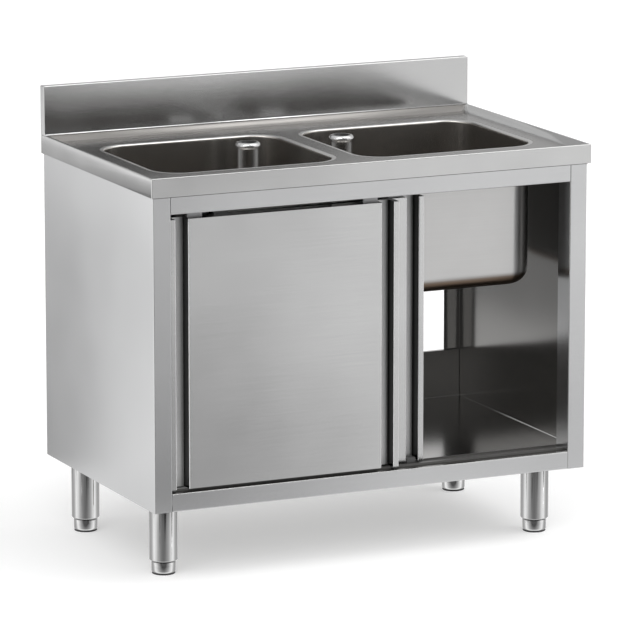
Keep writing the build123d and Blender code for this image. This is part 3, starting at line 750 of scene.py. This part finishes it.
# ---------------------------------------------------------------- geometry trees
def grow(name, points, tree, values, body, nodes=()):
    """Runs a geometry tree on points, keeps its plain mesh and adds it as a piece."""
    seed = bpy.data.meshes.new(name + "_places")
    seed.from_pydata([tuple(p) for p in points], [], [])
    holder = add_object(name + "_holder", seed)
    modifier = holder.modifiers.new("Build", "NODES")
    modifier.node_group = tree
    sockets = {item.name: item.identifier for item in tree.interface.items_tree
               if item.item_type == "SOCKET" and item.in_out == "INPUT"}
    for label, value in values.items():
        modifier[sockets[label]] = value
    mesh = applied_mesh(holder)
    mesh.name = name + "_mesh"
    shade(mesh)
    if not mesh.polygons:
        raise RuntimeError(f"{name} has no faces")
    return add_piece(name, mesh, body, nodes)


def new_tree(name, sizes):
    """A geometry tree with sockets for its points, its material and its sizes."""
    inputs = [("Geometry", "NodeSocketGeometry", None), ("Material", "NodeSocketMaterial", None)]
    for label, value in sizes.items():
        kind = "NodeSocketVector" if isinstance(value, tuple) else "NodeSocketFloat"
        inputs.append((label, kind, value))
    return new_group(name, "GeometryNodeTree", inputs, [("Geometry", "NodeSocketGeometry")])


def finish_tree(tree, given, result, shape, **turned):
    """Ends a geometry tree with the shape at every point, realized and with its material."""
    placed = add_node(tree, "GeometryNodeInstanceOnPoints", {
        "Points": given.outputs["Geometry"], "Instance": shape, **turned})
    real = add_node(tree, "GeometryNodeRealizeInstances", {"Geometry": placed.outputs[0]})
    painted = add_node(tree, "GeometryNodeSetMaterial", {
        "Geometry": real.outputs[0], "Material": given.outputs["Material"]})
    tree.links.new(painted.outputs[0], result.inputs["Geometry"])
    return tree


def at_height(tree, mesh, height):
    """Moves a primitive up by a height socket or value."""
    up = add_node(tree, "ShaderNodeCombineXYZ", {"Z": height})
    return add_node(tree, "GeometryNodeTransform", {
        "Geometry": mesh, "Translation": up.outputs[0]}).outputs[0]


def cylinder(tree, sides, radius, depth):
    return add_node(tree, "GeometryNodeMeshCylinder", {
        "Vertices": sides, "Radius": radius, "Depth": depth}).outputs["Mesh"]


def cone(tree, sides, top, bottom, depth, rings=1):
    return add_node(tree, "GeometryNodeMeshCone", {
        "Vertices": sides, "Side Segments": rings, "Radius Top": top,
        "Radius Bottom": bottom, "Depth": depth}).outputs["Mesh"]


# Thickness of a washer, and how far a bolt's shank reaches into its head and past what it clamps.
WASHER = 0.0006
SHANK_IN_HEAD = 0.0015
SHANK_PAST_GRIP = 0.0065


def bolt_tree():
    """A hexagonal head with a chamfer, a washer, a shank and a nut at every point."""
    tree, given, result = new_tree("Hexagon bolts", {
        "Head radius": 0.0056, "Head height": 0.003, "Washer radius": 0.0065,
        "Shank radius": 0.003, "Grip": 0.004})
    head_r, head_h = given.outputs["Head radius"], given.outputs["Head height"]
    grip = given.outputs["Grip"]
    chamfer = maths(tree, "MULTIPLY", head_h, 0.2)
    plain_h = maths(tree, "SUBTRACT", head_h, chamfer)
    crown_r = maths(tree, "MULTIPLY", head_r, 0.85)
    join = add_node(tree, "GeometryNodeJoinGeometry")

    def add(mesh, height):
        tree.links.new(at_height(tree, mesh, height), join.inputs[0])

    add(cylinder(tree, 6, head_r, plain_h), maths(tree, "MULTIPLY", plain_h, -0.5))
    add(cone(tree, 6, head_r, crown_r, chamfer), maths(tree, "MULTIPLY", head_h, -1.0))
    add(cylinder(tree, 6, head_r, head_h),
        maths(tree, "ADD", grip, maths(tree, "MULTIPLY", head_h, 0.5)))
    add(cylinder(tree, 24, given.outputs["Washer radius"], WASHER), 0.0)
    add(cylinder(tree, 20, given.outputs["Shank radius"],
                 maths(tree, "ADD", grip, SHANK_IN_HEAD + SHANK_PAST_GRIP)),
        maths(tree, "ADD", maths(tree, "MULTIPLY", grip, 0.5),
              (SHANK_PAST_GRIP - SHANK_IN_HEAD) / 2))
    return finish_tree(tree, given, result, join.outputs[0])


def screw_tree():
    """A low pan head and its shank at every point."""
    tree, given, result = new_tree("Pan head screws", {
        "Head radius": 0.005, "Head height": 0.003, "Shank radius": 0.003, "Grip": 0.0025})
    head_r, head_h = given.outputs["Head radius"], given.outputs["Head height"]
    grip = given.outputs["Grip"]
    join = add_node(tree, "GeometryNodeJoinGeometry")
    head = cone(tree, 28, head_r, maths(tree, "MULTIPLY", head_r, 0.7), head_h, rings=3)
    tree.links.new(at_height(tree, head, maths(tree, "MULTIPLY", head_h, -1.0)), join.inputs[0])
    shank = cylinder(tree, 20, given.outputs["Shank radius"], grip)
    tree.links.new(at_height(tree, shank, maths(tree, "MULTIPLY", grip, 0.5)), join.inputs[0])
    return finish_tree(tree, given, result, join.outputs[0])


def thread_tree():
    """One turn after another of a ridge round an upright shaft that starts at each point."""
    tree, given, result = new_tree("Screw thread", {
        "Radius": 0.0149, "Pitch": 0.0023, "Length": 0.07, "Ridge": 0.0008})
    turns = maths(tree, "DIVIDE", given.outputs["Length"], given.outputs["Pitch"])
    ridge_r = given.outputs["Ridge"]
    middle = maths(tree, "SUBTRACT", given.outputs["Radius"], ridge_r)
    spiral = add_node(tree, "GeometryNodeCurveSpiral", {
        "Resolution": 40, "Rotations": turns, "Start Radius": middle,
        "End Radius": middle, "Height": given.outputs["Length"]})
    section = add_node(tree, "GeometryNodeCurvePrimitiveCircle", {
        "Resolution": 4, "Radius": ridge_r})
    ridge = add_node(tree, "GeometryNodeCurveToMesh", {
        "Curve": spiral.outputs[0], "Profile Curve": section.outputs[0], "Fill Caps": True})
    return finish_tree(tree, given, result, ridge.outputs[0])


def weld_tree():
    """A low disc with a sloping rim at every point, turned as the weld faces."""
    tree, given, result = new_tree("Spot welds", {
        "Radius": 0.0028, "Height": 0.0003, "Turn": (0.0, 0.0, 0.0)})
    radius = given.outputs["Radius"]
    disc = cone(tree, 18, maths(tree, "MULTIPLY", radius, 0.6), radius, given.outputs["Height"])
    turned = add_node(tree, "FunctionNodeEulerToRotation", {0: given.outputs["Turn"]})
    return finish_tree(tree, given, result, disc, Rotation=turned.outputs[0])


# ---------------------------------------------------------------- turned and swept shapes
def closed_mesh(name, shape):
    """The mesh of a closed shape whose faces look outward."""
    bmesh.ops.recalc_face_normals(shape, faces=shape.faces)
    mesh = bpy.data.meshes.new(name + "_mesh")
    shape.to_mesh(mesh)
    shape.free()
    return mesh


def turned_mesh(name, points, x, y, sides=72):
    """A closed shape turned about the upright line at x and y. Points run from axis to axis."""
    shape = bmesh.new()
    rings = []
    for radius, height in points:
        if radius == 0:
            rings.append([shape.verts.new((x, y, height))])
            continue
        angles = [2 * math.pi * k / sides for k in range(sides)]
        rings.append([shape.verts.new((x + radius * math.cos(a), y + radius * math.sin(a), height))
                      for a in angles])
    for low, high in zip(rings, rings[1:]):
        for k in range(sides):
            after = (k + 1) % sides
            if len(low) == 1:
                shape.faces.new((low[0], high[after], high[k]))
            elif len(high) == 1:
                shape.faces.new((low[k], low[after], high[0]))
            else:
                shape.faces.new((low[k], low[after], high[after], high[k]))
    mesh = closed_mesh(name, shape)
    shade(mesh)
    return mesh


def foot_points(low, high, stem_r):
    """Profile of a levelling foot: a rounded body with a chamfered top and a bare stem."""
    radius = (high.x - low.x) / 2
    bottom, top, stem_top = low.z, foot_top(), high.z
    return [
        (0.0, bottom), (radius - 0.003, bottom), (radius - 0.001, bottom + 0.0007),
        (radius - 0.0002, bottom + 0.0022), (radius, bottom + 0.004), (radius, top - 0.0012),
        (radius - 0.0004, top - 0.0004), (radius - 0.0013, top), (stem_r, top),
        (stem_r, stem_top - 0.002), (stem_r - 0.002, stem_top), (0.0, stem_top),
    ]


def foot_top():
    """Height at which a foot's body ends, just under its leg, and its stem goes on."""
    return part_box("leg_tube_front_left")[0].z - FOOT_GAP


def swept_mesh(name, path, section):
    """A closed strip that runs along a path in plan. Section points are (outward, height)."""
    shape = bmesh.new()
    steps = [(Vector(b) - Vector(a)).normalized() for a, b in zip(path, path[1:])]
    sides = [Vector((step.y, -step.x)) for step in steps]
    rings = []
    for k, place in enumerate(path):
        before, after = sides[max(0, k - 1)], sides[min(k, len(sides) - 1)]
        mitre = (before + after) / (1 + before.dot(after))
        flat = [Vector(place) + mitre * outward for outward, height in section]
        rings.append([shape.verts.new((at.x, at.y, height))
                      for at, (outward, height) in zip(flat, section)])
    count = len(section)
    for low, high in zip(rings, rings[1:]):
        for k in range(count):
            shape.faces.new((low[k], low[(k + 1) % count], high[(k + 1) % count], high[k]))
    shape.faces.new(rings[0])
    shape.faces.new(rings[-1])
    return closed_mesh(name, shape)


# Sections of the beads, as outward and upward steps from the joint that they follow.
SEALANT_SHADOW_SECTION = [(-0.0004, -0.0001), (0.0006, -0.0001), (0.0006, -0.0021), (-0.0004, -0.0026)]
SPLASH_SECTION = [(-0.0008, -0.0006), (0.0020, -0.0006), (0.0018, 0.0004), (0.0010, 0.0014),
                  (0.0, 0.0020), (-0.0008, 0.0020)]
SHELF_SECTION = [(0.0004, -0.0004), (0.0004, 0.0011), (-0.0004, 0.0009), (-0.0010, 0.0003),
                 (-0.0011, -0.0004)]


def lay_bead(name, path, section, height, node, slot):
    """Adds a bead along a path at a height, on the body of a node."""
    mesh = swept_mesh(name, path, [(outward, height + rise) for outward, rise in section])
    mesh.materials.append(finish(slot))
    return add_piece(name, mesh, BODY_OF[node])


# ---------------------------------------------------------------- operators
# Distances of the spot welds from the edges of the panel and the rail, and a weld's height.
WELD_END = 0.03
WELD_FOOT = 0.014
WELD_SIDE = 0.018
WELD_LOW = 0.05
WELD_HIGH = 0.03
WELD_RAIL = 0.012
WELD_HEIGHT = 0.0003
# How far the beads stop short of the edges, and how far behind the front the shelf's seam starts.
BEAD_END = 0.002
SEAM_START = 0.045
# Outer radii of the threads on a foot's stem and a waste's tail, the stem inside its thread, half
# the depth of the two threads and the plain ends that they leave.
STEM_RADIUS = 0.0149
STEM_CORE = 0.0136
STEM_RIDGE = 0.0009
STEM_END = 0.003
TAIL_RADIUS = 0.0243
TAIL_RIDGE = 0.0008
TAIL_END = 0.001
# What the leg plates' bolts clamp, and a track screw's head.
BOLT_GRIP = 0.004
SCREW_RADIUS = 0.005
SCREW_HEIGHT = 0.003


class SINK_OT_worktop(bpy.types.Operator):
    """Finish the worktop, the splashback and the brace below it"""

    bl_idname = "sink.worktop"
    bl_label = "Worktop and splashback"

    def execute(self, context):
        for node in ("worktop", "splashback"):
            smooth(node)
        dress("worktop_brace")
        return {"FINISHED"}


class SINK_OT_seam(bpy.types.Operator):
    """Lay the polished weld where the splashback stands on the worktop"""

    bl_idname = "sink.seam"
    bl_label = "Splashback seam"

    def execute(self, context):
        low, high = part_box("splashback")
        path = [(low.x + BEAD_END / 2, low.y), (high.x - BEAD_END / 2, low.y)]
        seam = lay_bead("splashback_seam", path, SPLASH_SECTION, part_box("worktop")[1].z,
                        "splashback", "waste_steel")
        seam.data.shade_smooth()
        return {"FINISHED"}


class SINK_OT_bowls(bpy.types.Operator):
    """Finish the two pressed bowls"""

    bl_idname = "sink.bowls"
    bl_label = "Bowls"

    def execute(self, context):
        for side in SIDES:
            smooth(f"bowl_{side}")
        return {"FINISHED"}


class SINK_OT_wastes(bpy.types.Operator):
    """Finish the wastes, their nuts and seals, and cut the thread of each tail"""

    bl_idname = "sink.wastes"
    bl_label = "Wastes"

    def execute(self, context):
        hardware = context.scene.sink_hardware
        for side in SIDES:
            smooth(f"waste_body_{side}")
            dress(f"waste_nut_{side}")
            dress(f"waste_seal_{side}")
            low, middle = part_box(f"waste_body_{side}")[0], centre_of(f"waste_body_{side}")
            nut_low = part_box(f"waste_nut_{side}")[0]
            grow(
                f"waste_thread_{side}", [(middle.x, middle.y, low.z + TAIL_END)],
                shared(thread_tree),
                {"Material": finish("waste_steel"), "Radius": TAIL_RADIUS, "Ridge": TAIL_RIDGE,
                 "Pitch": hardware.thread_pitch, "Length": nut_low.z - low.z - 2 * TAIL_END},
                BODY_OF[f"waste_body_{side}"],
            )
        return {"FINISHED"}


class SINK_OT_standpipes(bpy.types.Operator):
    """Finish the two standpipes and their seals"""

    bl_idname = "sink.standpipes"
    bl_label = "Standpipes"

    def execute(self, context):
        for side in SIDES:
            smooth(f"standpipe_{side}")
            dress(f"standpipe_seal_{side}")
        return {"FINISHED"}


class SINK_OT_cabinet(bpy.types.Operator):
    """Finish the folded panels, rails, shelf and stiffeners of the cabinet"""

    bl_idname = "sink.cabinet"
    bl_label = "Cabinet"

    def execute(self, context):
        for node in ("side_panel_left", "side_panel_right", "front_top_rail", "back_top_rail",
                     "bottom_shelf", "back_panel_lower", "shelf_stiffener_front",
                     "shelf_stiffener_back"):
            smooth(node)
        return {"FINISHED"}


class SINK_OT_sealant_shadow(bpy.types.Operator):
    """Lay a thin near-black line of sealant where the cabinet meets the worktop; it also stands for
    the painted shadow line under the worktop's edge
    """

    bl_idname = "sink.sealant"
    bl_label = "Sealant"

    def execute(self, context):
        low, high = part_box("side_panel_left")[0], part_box("side_panel_right")[1]
        back = high.y - BEAD_END
        path = [(low.x, back), (low.x, low.y), (high.x, low.y), (high.x, back)]
        # Near-black sealant, also standing for the painted shadow line under the worktop's edge.
        lay_bead("sealant_line", path, SEALANT_SHADOW_SECTION, high.z, "side_panel_left", "seal_rubber")
        return {"FINISHED"}


class SINK_OT_shelf_seam(bpy.types.Operator):
    """Lay the weld between the shelf and the panels round it"""

    bl_idname = "sink.shelf_seam"
    bl_label = "Shelf seam"

    def execute(self, context):
        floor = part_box("bottom_shelf")[1].z
        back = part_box("back_panel_lower")[1].y - SHEET
        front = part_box("side_panel_left")[0].y + SEAM_START
        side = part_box("side_panel_right")[1].x - SHEET
        path = [(side, front), (side, back), (-side, back), (-side, front)]
        lay_bead("shelf_seam", path, SHELF_SECTION, floor, "bottom_shelf", "waste_steel")
        return {"FINISHED"}


class SINK_OT_welds(bpy.types.Operator):
    """Add the spot welds that hold the low back panel and the back rail"""

    bl_idname = "sink.welds"
    bl_label = "Spot welds"

    def execute(self, context):
        hardware = context.scene.sink_hardware
        panel_low, panel_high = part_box("back_panel_lower")
        rail_low, rail_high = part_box("back_top_rail")
        span = panel_high.x - panel_low.x - 2 * WELD_END
        count = int(span / hardware.weld_spacing)
        xs = [-span / 2 + span * k / count for k in range(count + 1)]
        rows = [(x, panel_high.y, panel_low.z + WELD_FOOT) for x in xs]
        ends = [panel_low.x + WELD_SIDE, panel_high.x - WELD_SIDE]
        heights = [panel_low.z + WELD_LOW, panel_high.z - WELD_HIGH,
                   rail_low.z + WELD_RAIL, rail_high.z - WELD_RAIL]
        rows += [(x, panel_high.y, z) for x in ends for z in heights]
        grow(
            "spot_welds_back", rows, shared(weld_tree),
            {"Material": finish("panel_steel"), "Radius": hardware.weld_radius,
             "Height": WELD_HEIGHT, "Turn": (-math.pi / 2, 0.0, 0.0)},
            BODY_OF["back_panel_lower"],
        )
        return {"FINISHED"}


class SINK_OT_doors(bpy.types.Operator):
    """Finish the skins and liners of the sliding doors"""

    bl_idname = "sink.doors"
    bl_label = "Doors"

    def execute(self, context):
        for door in DOORS:
            smooth(f"door_{door}_skin")
            dress(f"door_{door}_liner")
        return {"FINISHED"}


class SINK_OT_door_gear(bpy.types.Operator):
    """Finish the track, hangers, rollers, axles, stops and guides of the doors"""

    bl_idname = "sink.door_gear"
    bl_label = "Door gear"

    def execute(self, context):
        for node in ("door_track", "door_guide_rail", "track_stops"):
            dress(node)
        for door in DOORS:
            smooth(f"axles_{door}")
            dress(f"guide_shoes_{door}")
            for side in SIDES:
                smooth(f"hanger_{door}_{side}")
                smooth(f"roller_{door}_{side}")
        return {"FINISHED"}


class SINK_OT_screws(bpy.types.Operator):
    """Put a bolt or a screw in every place that the leg plates and the track have for one"""

    bl_idname = "sink.screws"
    bl_label = "Bolts and screws"

    def execute(self, context):
        hardware = context.scene.sink_hardware
        places = []
        for corner in CORNERS:
            low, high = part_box(f"leg_plate_{corner}")
            middle, offset = (low + high) / 2, (high.x - low.x) / 2 - BOLT_MARGIN
            places += [(middle.x + dx, middle.y + dy, low.z)
                       for dx in (-offset, offset) for dy in (-offset, offset)]
        grow(
            "leg_bolt_set", places, shared(bolt_tree),
            {"Material": finish("zinc_plated_steel"), "Head radius": hardware.bolt_head,
             "Head height": hardware.bolt_height, "Grip": BOLT_GRIP},
            BODY_OF["leg_bolts"], ["leg_bolts"],
        )
        low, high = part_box("track_screws")
        y, spread = (low.y + high.y) / 2, (high.x - low.x) / 2 - SCREW_RADIUS
        heads = [(share * spread, y, low.z + SCREW_HEIGHT) for share in (-1, -1 / 3, 1 / 3, 1)]
        grow(
            "track_screw_set", heads, shared(screw_tree),
            {"Material": finish("zinc_plated_steel"), "Head radius": SCREW_RADIUS,
             "Head height": SCREW_HEIGHT, "Grip": high.z - low.z - SCREW_HEIGHT},
            BODY_OF["track_screws"], ["track_screws"],
        )
        return {"FINISHED"}


class SINK_OT_legs(bpy.types.Operator):
    """Finish the four leg tubes and their plates"""

    bl_idname = "sink.legs"
    bl_label = "Legs"

    def execute(self, context):
        for corner in CORNERS:
            smooth(f"leg_tube_{corner}")
            dress(f"leg_plate_{corner}")
        return {"FINISHED"}


class SINK_OT_feet(bpy.types.Operator):
    """Turn the levelling feet, cut the threads of their stems and finish their pads"""

    bl_idname = "sink.feet"
    bl_label = "Feet"

    def execute(self, context):
        hardware = context.scene.sink_hardware
        material = finish("leg_steel")
        for corner in CORNERS:
            node = f"foot_{corner}"
            low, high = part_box(node)
            middle = (low + high) / 2
            mesh = turned_mesh(
                node + "_turned", foot_points(low, high, STEM_CORE), middle.x, middle.y)
            mesh.materials.append(material)
            add_piece(node + "_turned", mesh, BODY_OF[node], [node])
            start = foot_top()
            grow(
                node + "_thread", [(middle.x, middle.y, start)], shared(thread_tree),
                {"Material": material, "Radius": STEM_RADIUS, "Ridge": STEM_RIDGE,
                 "Pitch": hardware.thread_pitch, "Length": high.z - start - STEM_END},
                BODY_OF[node],
            )
            smooth(f"foot_pad_{corner}")
        return {"FINISHED"}


class SINK_OT_stage(bpy.types.Operator):
    """Set up the floor, the lamps, the cards and the camera"""

    bl_idname = "sink.stage"
    bl_label = "Stage"

    def execute(self, context):
        stage = context.scene.sink_stage
        add_floor(stage)
        add_world(stage)
        for name, turn, width in LAMPS:
            add_lamp(name + "_lamp", getattr(stage, name + "_strength"), turn, width)
        add_cards(stage)
        add_camera(stage)
        context.scene.view_settings.view_transform = "Standard"
        return {"FINISHED"}


# ---------------------------------------------------------------- stage
FLOOR_HALF = 40.0
FLOOR_LIFT = 0.34
LAMPS = (("key", (48, 0, -42), 50), ("fill", (50, 0, 48), 60), ("top", (12, 25, 0), 40))
SENSOR_WIDTH = 36.0
CAMERA_PLACE = (-4.340, -9.374, 2.607)
CAMERA_TURN = (90 - 11.66, 0.0, -24.83)
# The worktop's front and left edges and the cabinet's front on the floor, and how far along a face
# and how far out of it the floor that it reflects lies, per metre of height.
FRONT_EDGE = -0.3
LEFT_EDGE = -0.5
FRONT_FACE = -0.29
REFLECTED_ALONG = 2.05
REFLECTED_OUT = 4.45
# Brightness of the floor card where the front reflects it, by place along the front and by
# height, where the left side reflects it, by depth and by height, and round each leg.
ALONG_FRONT = [(-0.70, 0.42), (-0.42, 0.43), (-0.24, 0.56), (-0.05, 0.74), (0.10, 0.78),
               (0.45, 0.74), (0.9, 0.78)]
UP_FRONT = [(0.0, -0.04), (0.2, -0.04), (0.5, 0.16), (0.75, 0.28), (0.84, 0.15), (2.0, 0.12)]
ALONG_SIDE = [(-0.30, 1.10), (0.0, 1.04), (0.25, 0.60), (0.32, 0.54), (0.6, 0.5)]
UP_SIDE = [(0.0, -0.12), (0.3, 0.0), (0.75, 0.02), (0.80, 0.3), (0.9, 0.6), (1.0, 0.6),
           (1.3, -0.3)]
# Its brightness round the legs, left of the unit, below the camera and elsewhere.
LEG_LIGHT = 0.95
CORNER_LIGHT = 1.6
CAMERA_SHADE = 0.12
REST = 0.9
# Bearings in degrees between which the floor card goes over to its next brightness, and how far
# from a leg it goes over from the legs' brightness to the open floor's.
TO_CORNER = (176, 188)
TO_FRONT = (214, 238)
TO_SHADE = (262, 288)
TO_REST = (340, 356)
ROUND_LEG = (0.45, 0.72)
# Half the width of the card's fine part and of the whole card, how fast its spacing grows past the
# fine part, and its height over the floor.
FINE_HALF = 1.3
CARD_HALF = 9.0
SPACING_GROWTH = 1.2
CARD_LIFT = 0.002
# Brightness of the two upright cards that only the worktop and the splashback reflect, by place
# from left to right.
FRONT_CARD_Y = -2.0
ALONG_FRONT_CARD = [(0.4, 0.16), (1.1, 0.26), (1.45, 0.8), (1.6, 1.0)]
BACK_CARD_Y = 1.0
ALONG_BACK_CARD = [(-0.2, 0.6), (0.5, 0.62), (1.2, 0.62), (2.0, 0.66)]
CARD_LEFT = -4.0
CARD_STEP = 0.1
CARD_COLUMNS = 111
CARD_LOW_Z = 0.87
CARD_HIGH_Z = 3.0


def seen_directly(tree):
    """A factor that is 1 for camera, glossy and transmission rays."""
    path = tree.nodes.new("ShaderNodeLightPath")
    two = maths(tree, "MAXIMUM", path.outputs["Is Camera Ray"], path.outputs["Is Glossy Ray"])
    return maths(tree, "MAXIMUM", two, path.outputs["Is Transmission Ray"])


def add_floor(stage):
    mesh = bpy.data.meshes.new("floor_mesh")
    size = FLOOR_HALF
    mesh.from_pydata([(-size, -size, 0), (size, -size, 0), (size, size, 0), (-size, size, 0)],
                     [], [(0, 1, 2, 3)])
    material, tree, shader = new_material("floor_white", 0.0)
    shader.inputs["Base Color"].default_value = (*stage.floor_colour, 1.0)
    shader.inputs["Roughness"].default_value = 0.9
    shader.inputs["Specular IOR Level"].default_value = 0.0
    glow = add_node(tree, "ShaderNodeEmission", {
        "Color": WHITE, "Strength": maths(tree, "MULTIPLY", seen_directly(tree), FLOOR_LIFT)})
    both = tree.nodes.new("ShaderNodeAddShader")
    tree.links.new(shader.outputs[0], both.inputs[0])
    tree.links.new(glow.outputs[0], both.inputs[1])
    tree.links.new(both.outputs[0], tree.nodes["Material Output"].inputs["Surface"])
    mesh.materials.append(material)
    add_object("floor", mesh)


def add_world(stage):
    world = bpy.data.worlds.new("studio")
    bpy.context.scene.world = world
    world.use_nodes = True
    tree = world.node_tree
    fill = tree.nodes["Background"]
    fill.inputs["Color"].default_value = WHITE
    fill.inputs["Strength"].default_value = stage.world_fill
    white = add_node(tree, "ShaderNodeBackground", {"Color": WHITE, "Strength": 1.0})
    choose = tree.nodes.new("ShaderNodeMixShader")
    tree.links.new(seen_directly(tree), choose.inputs[0])
    tree.links.new(fill.outputs[0], choose.inputs[1])
    tree.links.new(white.outputs[0], choose.inputs[2])
    tree.links.new(choose.outputs[0], tree.nodes["World Output"].inputs["Surface"])


def radians(turn):
    return [math.radians(angle) for angle in turn]


def add_lamp(name, strength, turn, width):
    """A distant lamp with a wide soft disc; turn is in degrees."""
    lamp = bpy.data.lights.new(name, "SUN")
    lamp.energy = strength
    lamp.angle = math.radians(width)
    add_object(name, lamp).rotation_euler = radians(turn)


def between(table, value):
    """The value of a table of points, straight between them and level past its ends."""
    if value <= table[0][0]:
        return table[0][1]
    for (x0, y0), (x1, y1) in zip(table, table[1:]):
        if value <= x1:
            return y0 + (y1 - y0) * (value - x0) / (x1 - x0)
    return table[-1][1]


def open_floor_tone(x, y):
    """Brightness of the floor card away from the legs, by bearing from the front left corner."""
    bearing = math.degrees(math.atan2(y - FRONT_EDGE, x - LEFT_EDGE)) % 360
    if bearing < 90:
        return REST
    height = max(0.0, FRONT_FACE - y) / REFLECTED_OUT
    front = between(ALONG_FRONT, x - REFLECTED_ALONG * height) + between(UP_FRONT, height)
    depth = max(0.0, LEFT_EDGE - x) / REFLECTED_ALONG
    side = between(ALONG_SIDE, y - REFLECTED_OUT * depth) + between(UP_SIDE, depth)
    right = front + (REST - front) * fade(*TO_REST, bearing)
    shaded = CAMERA_SHADE + (right - CAMERA_SHADE) * fade(*TO_SHADE, bearing)
    lit = side + (CORNER_LIGHT - side) * fade(*TO_CORNER, bearing)
    return lit + (shaded - lit) * fade(*TO_FRONT, bearing)


def card_tone(x, y, legs):
    """Brightness of the floor card at a place on the floor."""
    away = min(math.hypot(x - leg.x, y - leg.y) for leg in legs)
    return LEG_LIGHT + (open_floor_tone(x, y) - LEG_LIGHT) * fade(*ROUND_LEG, away)


def card_lines(spacing):
    """Places of grid lines that stand close beside the unit and spread out further off."""
    count = int(2 * FINE_HALF / spacing)
    places = [-FINE_HALF + 2 * FINE_HALF * k / count for k in range(count + 1)]
    step, at = spacing, FINE_HALF
    while at < CARD_HALF:
        step *= SPACING_GROWTH
        at += step
        places = [-at, *places, at]
    return places


def grid_faces(rows, columns):
    """Four-sided faces of a grid of points that are counted row by row."""
    return [(r * columns + c, r * columns + c + 1, (r + 1) * columns + c + 1, (r + 1) * columns + c)
            for r in range(rows - 1) for c in range(columns - 1)]


def toned_material():
    """Light as strong as the tone that is stored on the mesh."""
    material, tree, shader = new_material("toned_card", 0.0)
    tree.nodes.remove(shader)
    glow = add_node(tree, "ShaderNodeEmission", {
        "Color": WHITE, "Strength": stored(tree, "tone")})
    tree.links.new(glow.outputs[0], tree.nodes["Material Output"].inputs["Surface"])
    return material


def add_card(name, places, faces, tones, material):
    """A card that only the steel's reflections see."""
    mesh = bpy.data.meshes.new(name + "_mesh")
    mesh.from_pydata(places, [], faces)
    mesh.attributes.new("tone", "FLOAT", "POINT").data.foreach_set("value", tones)
    mesh.materials.append(material)
    card = add_object(name, mesh)
    card.visible_camera = False
    card.visible_diffuse = False
    card.visible_shadow = False
    card.visible_transmission = False


def add_cards(stage):
    """The toned floor card and the two upright cards."""
    material = toned_material()
    legs = [centre_of(f"leg_tube_{corner}") for corner in CORNERS]
    lines = card_lines(stage.card_spacing)
    places = [(x, y, CARD_LIFT) for y in lines for x in lines]
    add_card("floor_card", places, grid_faces(len(lines), len(lines)),
             [card_tone(x, y, legs) for x, y, z in places], material)
    across = [CARD_LEFT + CARD_STEP * k for k in range(CARD_COLUMNS)]
    for name, y, table in (("front_card", FRONT_CARD_Y, ALONG_FRONT_CARD),
                           ("back_card", BACK_CARD_Y, ALONG_BACK_CARD)):
        places = [(x, y, z) for z in (CARD_LOW_Z, CARD_HIGH_Z) for x in across]
        add_card(name, places, grid_faces(2, len(across)),
                 [between(table, x) for x, y, z in places], material)


def add_camera(stage):
    data = bpy.data.cameras.new("camera")
    data.sensor_width = SENSOR_WIDTH
    data.lens = stage.focal_length
    data.clip_end = 200.0
    camera = add_object("camera", data)
    camera.location = CAMERA_PLACE
    camera.rotation_euler = radians(CAMERA_TURN)
    bpy.context.scene.camera = camera


# ---------------------------------------------------------------- panel
PIECES = (
    SINK_OT_worktop, SINK_OT_seam, SINK_OT_bowls, SINK_OT_wastes, SINK_OT_standpipes,
    SINK_OT_cabinet, SINK_OT_sealant_shadow, SINK_OT_shelf_seam, SINK_OT_welds, SINK_OT_doors,
    SINK_OT_door_gear, SINK_OT_screws, SINK_OT_legs, SINK_OT_feet, SINK_OT_stage,
)
SETTINGS = {
    "sink_steel": SteelSettings, "sink_hardware": HardwareSettings, "sink_stage": StageSettings,
}


class SINK_PT_panel(bpy.types.Panel):
    """Lists the settings and the steps of the sink unit"""

    bl_idname = "SINK_PT_panel"
    bl_label = "Sink unit"
    bl_space_type = "VIEW_3D"
    bl_region_type = "UI"
    bl_category = "Sink unit"

    def draw(self, context):
        for name, group in SETTINGS.items():
            box = self.layout.box()
            for prop in group.__annotations__:
                box.prop(getattr(context.scene, name), prop)
        for piece in PIECES:
            self.layout.operator(piece.bl_idname)


def register():
    for group in (*SETTINGS.values(), *PIECES, SINK_PT_panel):
        bpy.utils.register_class(group)
    for name, group in SETTINGS.items():
        setattr(bpy.types.Scene, name, PointerProperty(type=group))


def unregister():
    for name in SETTINGS:
        delattr(bpy.types.Scene, name)
    for group in reversed((*SETTINGS.values(), *PIECES, SINK_PT_panel)):
        bpy.utils.unregister_class(group)


def main():
    register()
    for piece in PIECES:
        getattr(bpy.ops.sink, piece.bl_idname.partition(".")[2])()


if __name__ == "__main__":
    main()
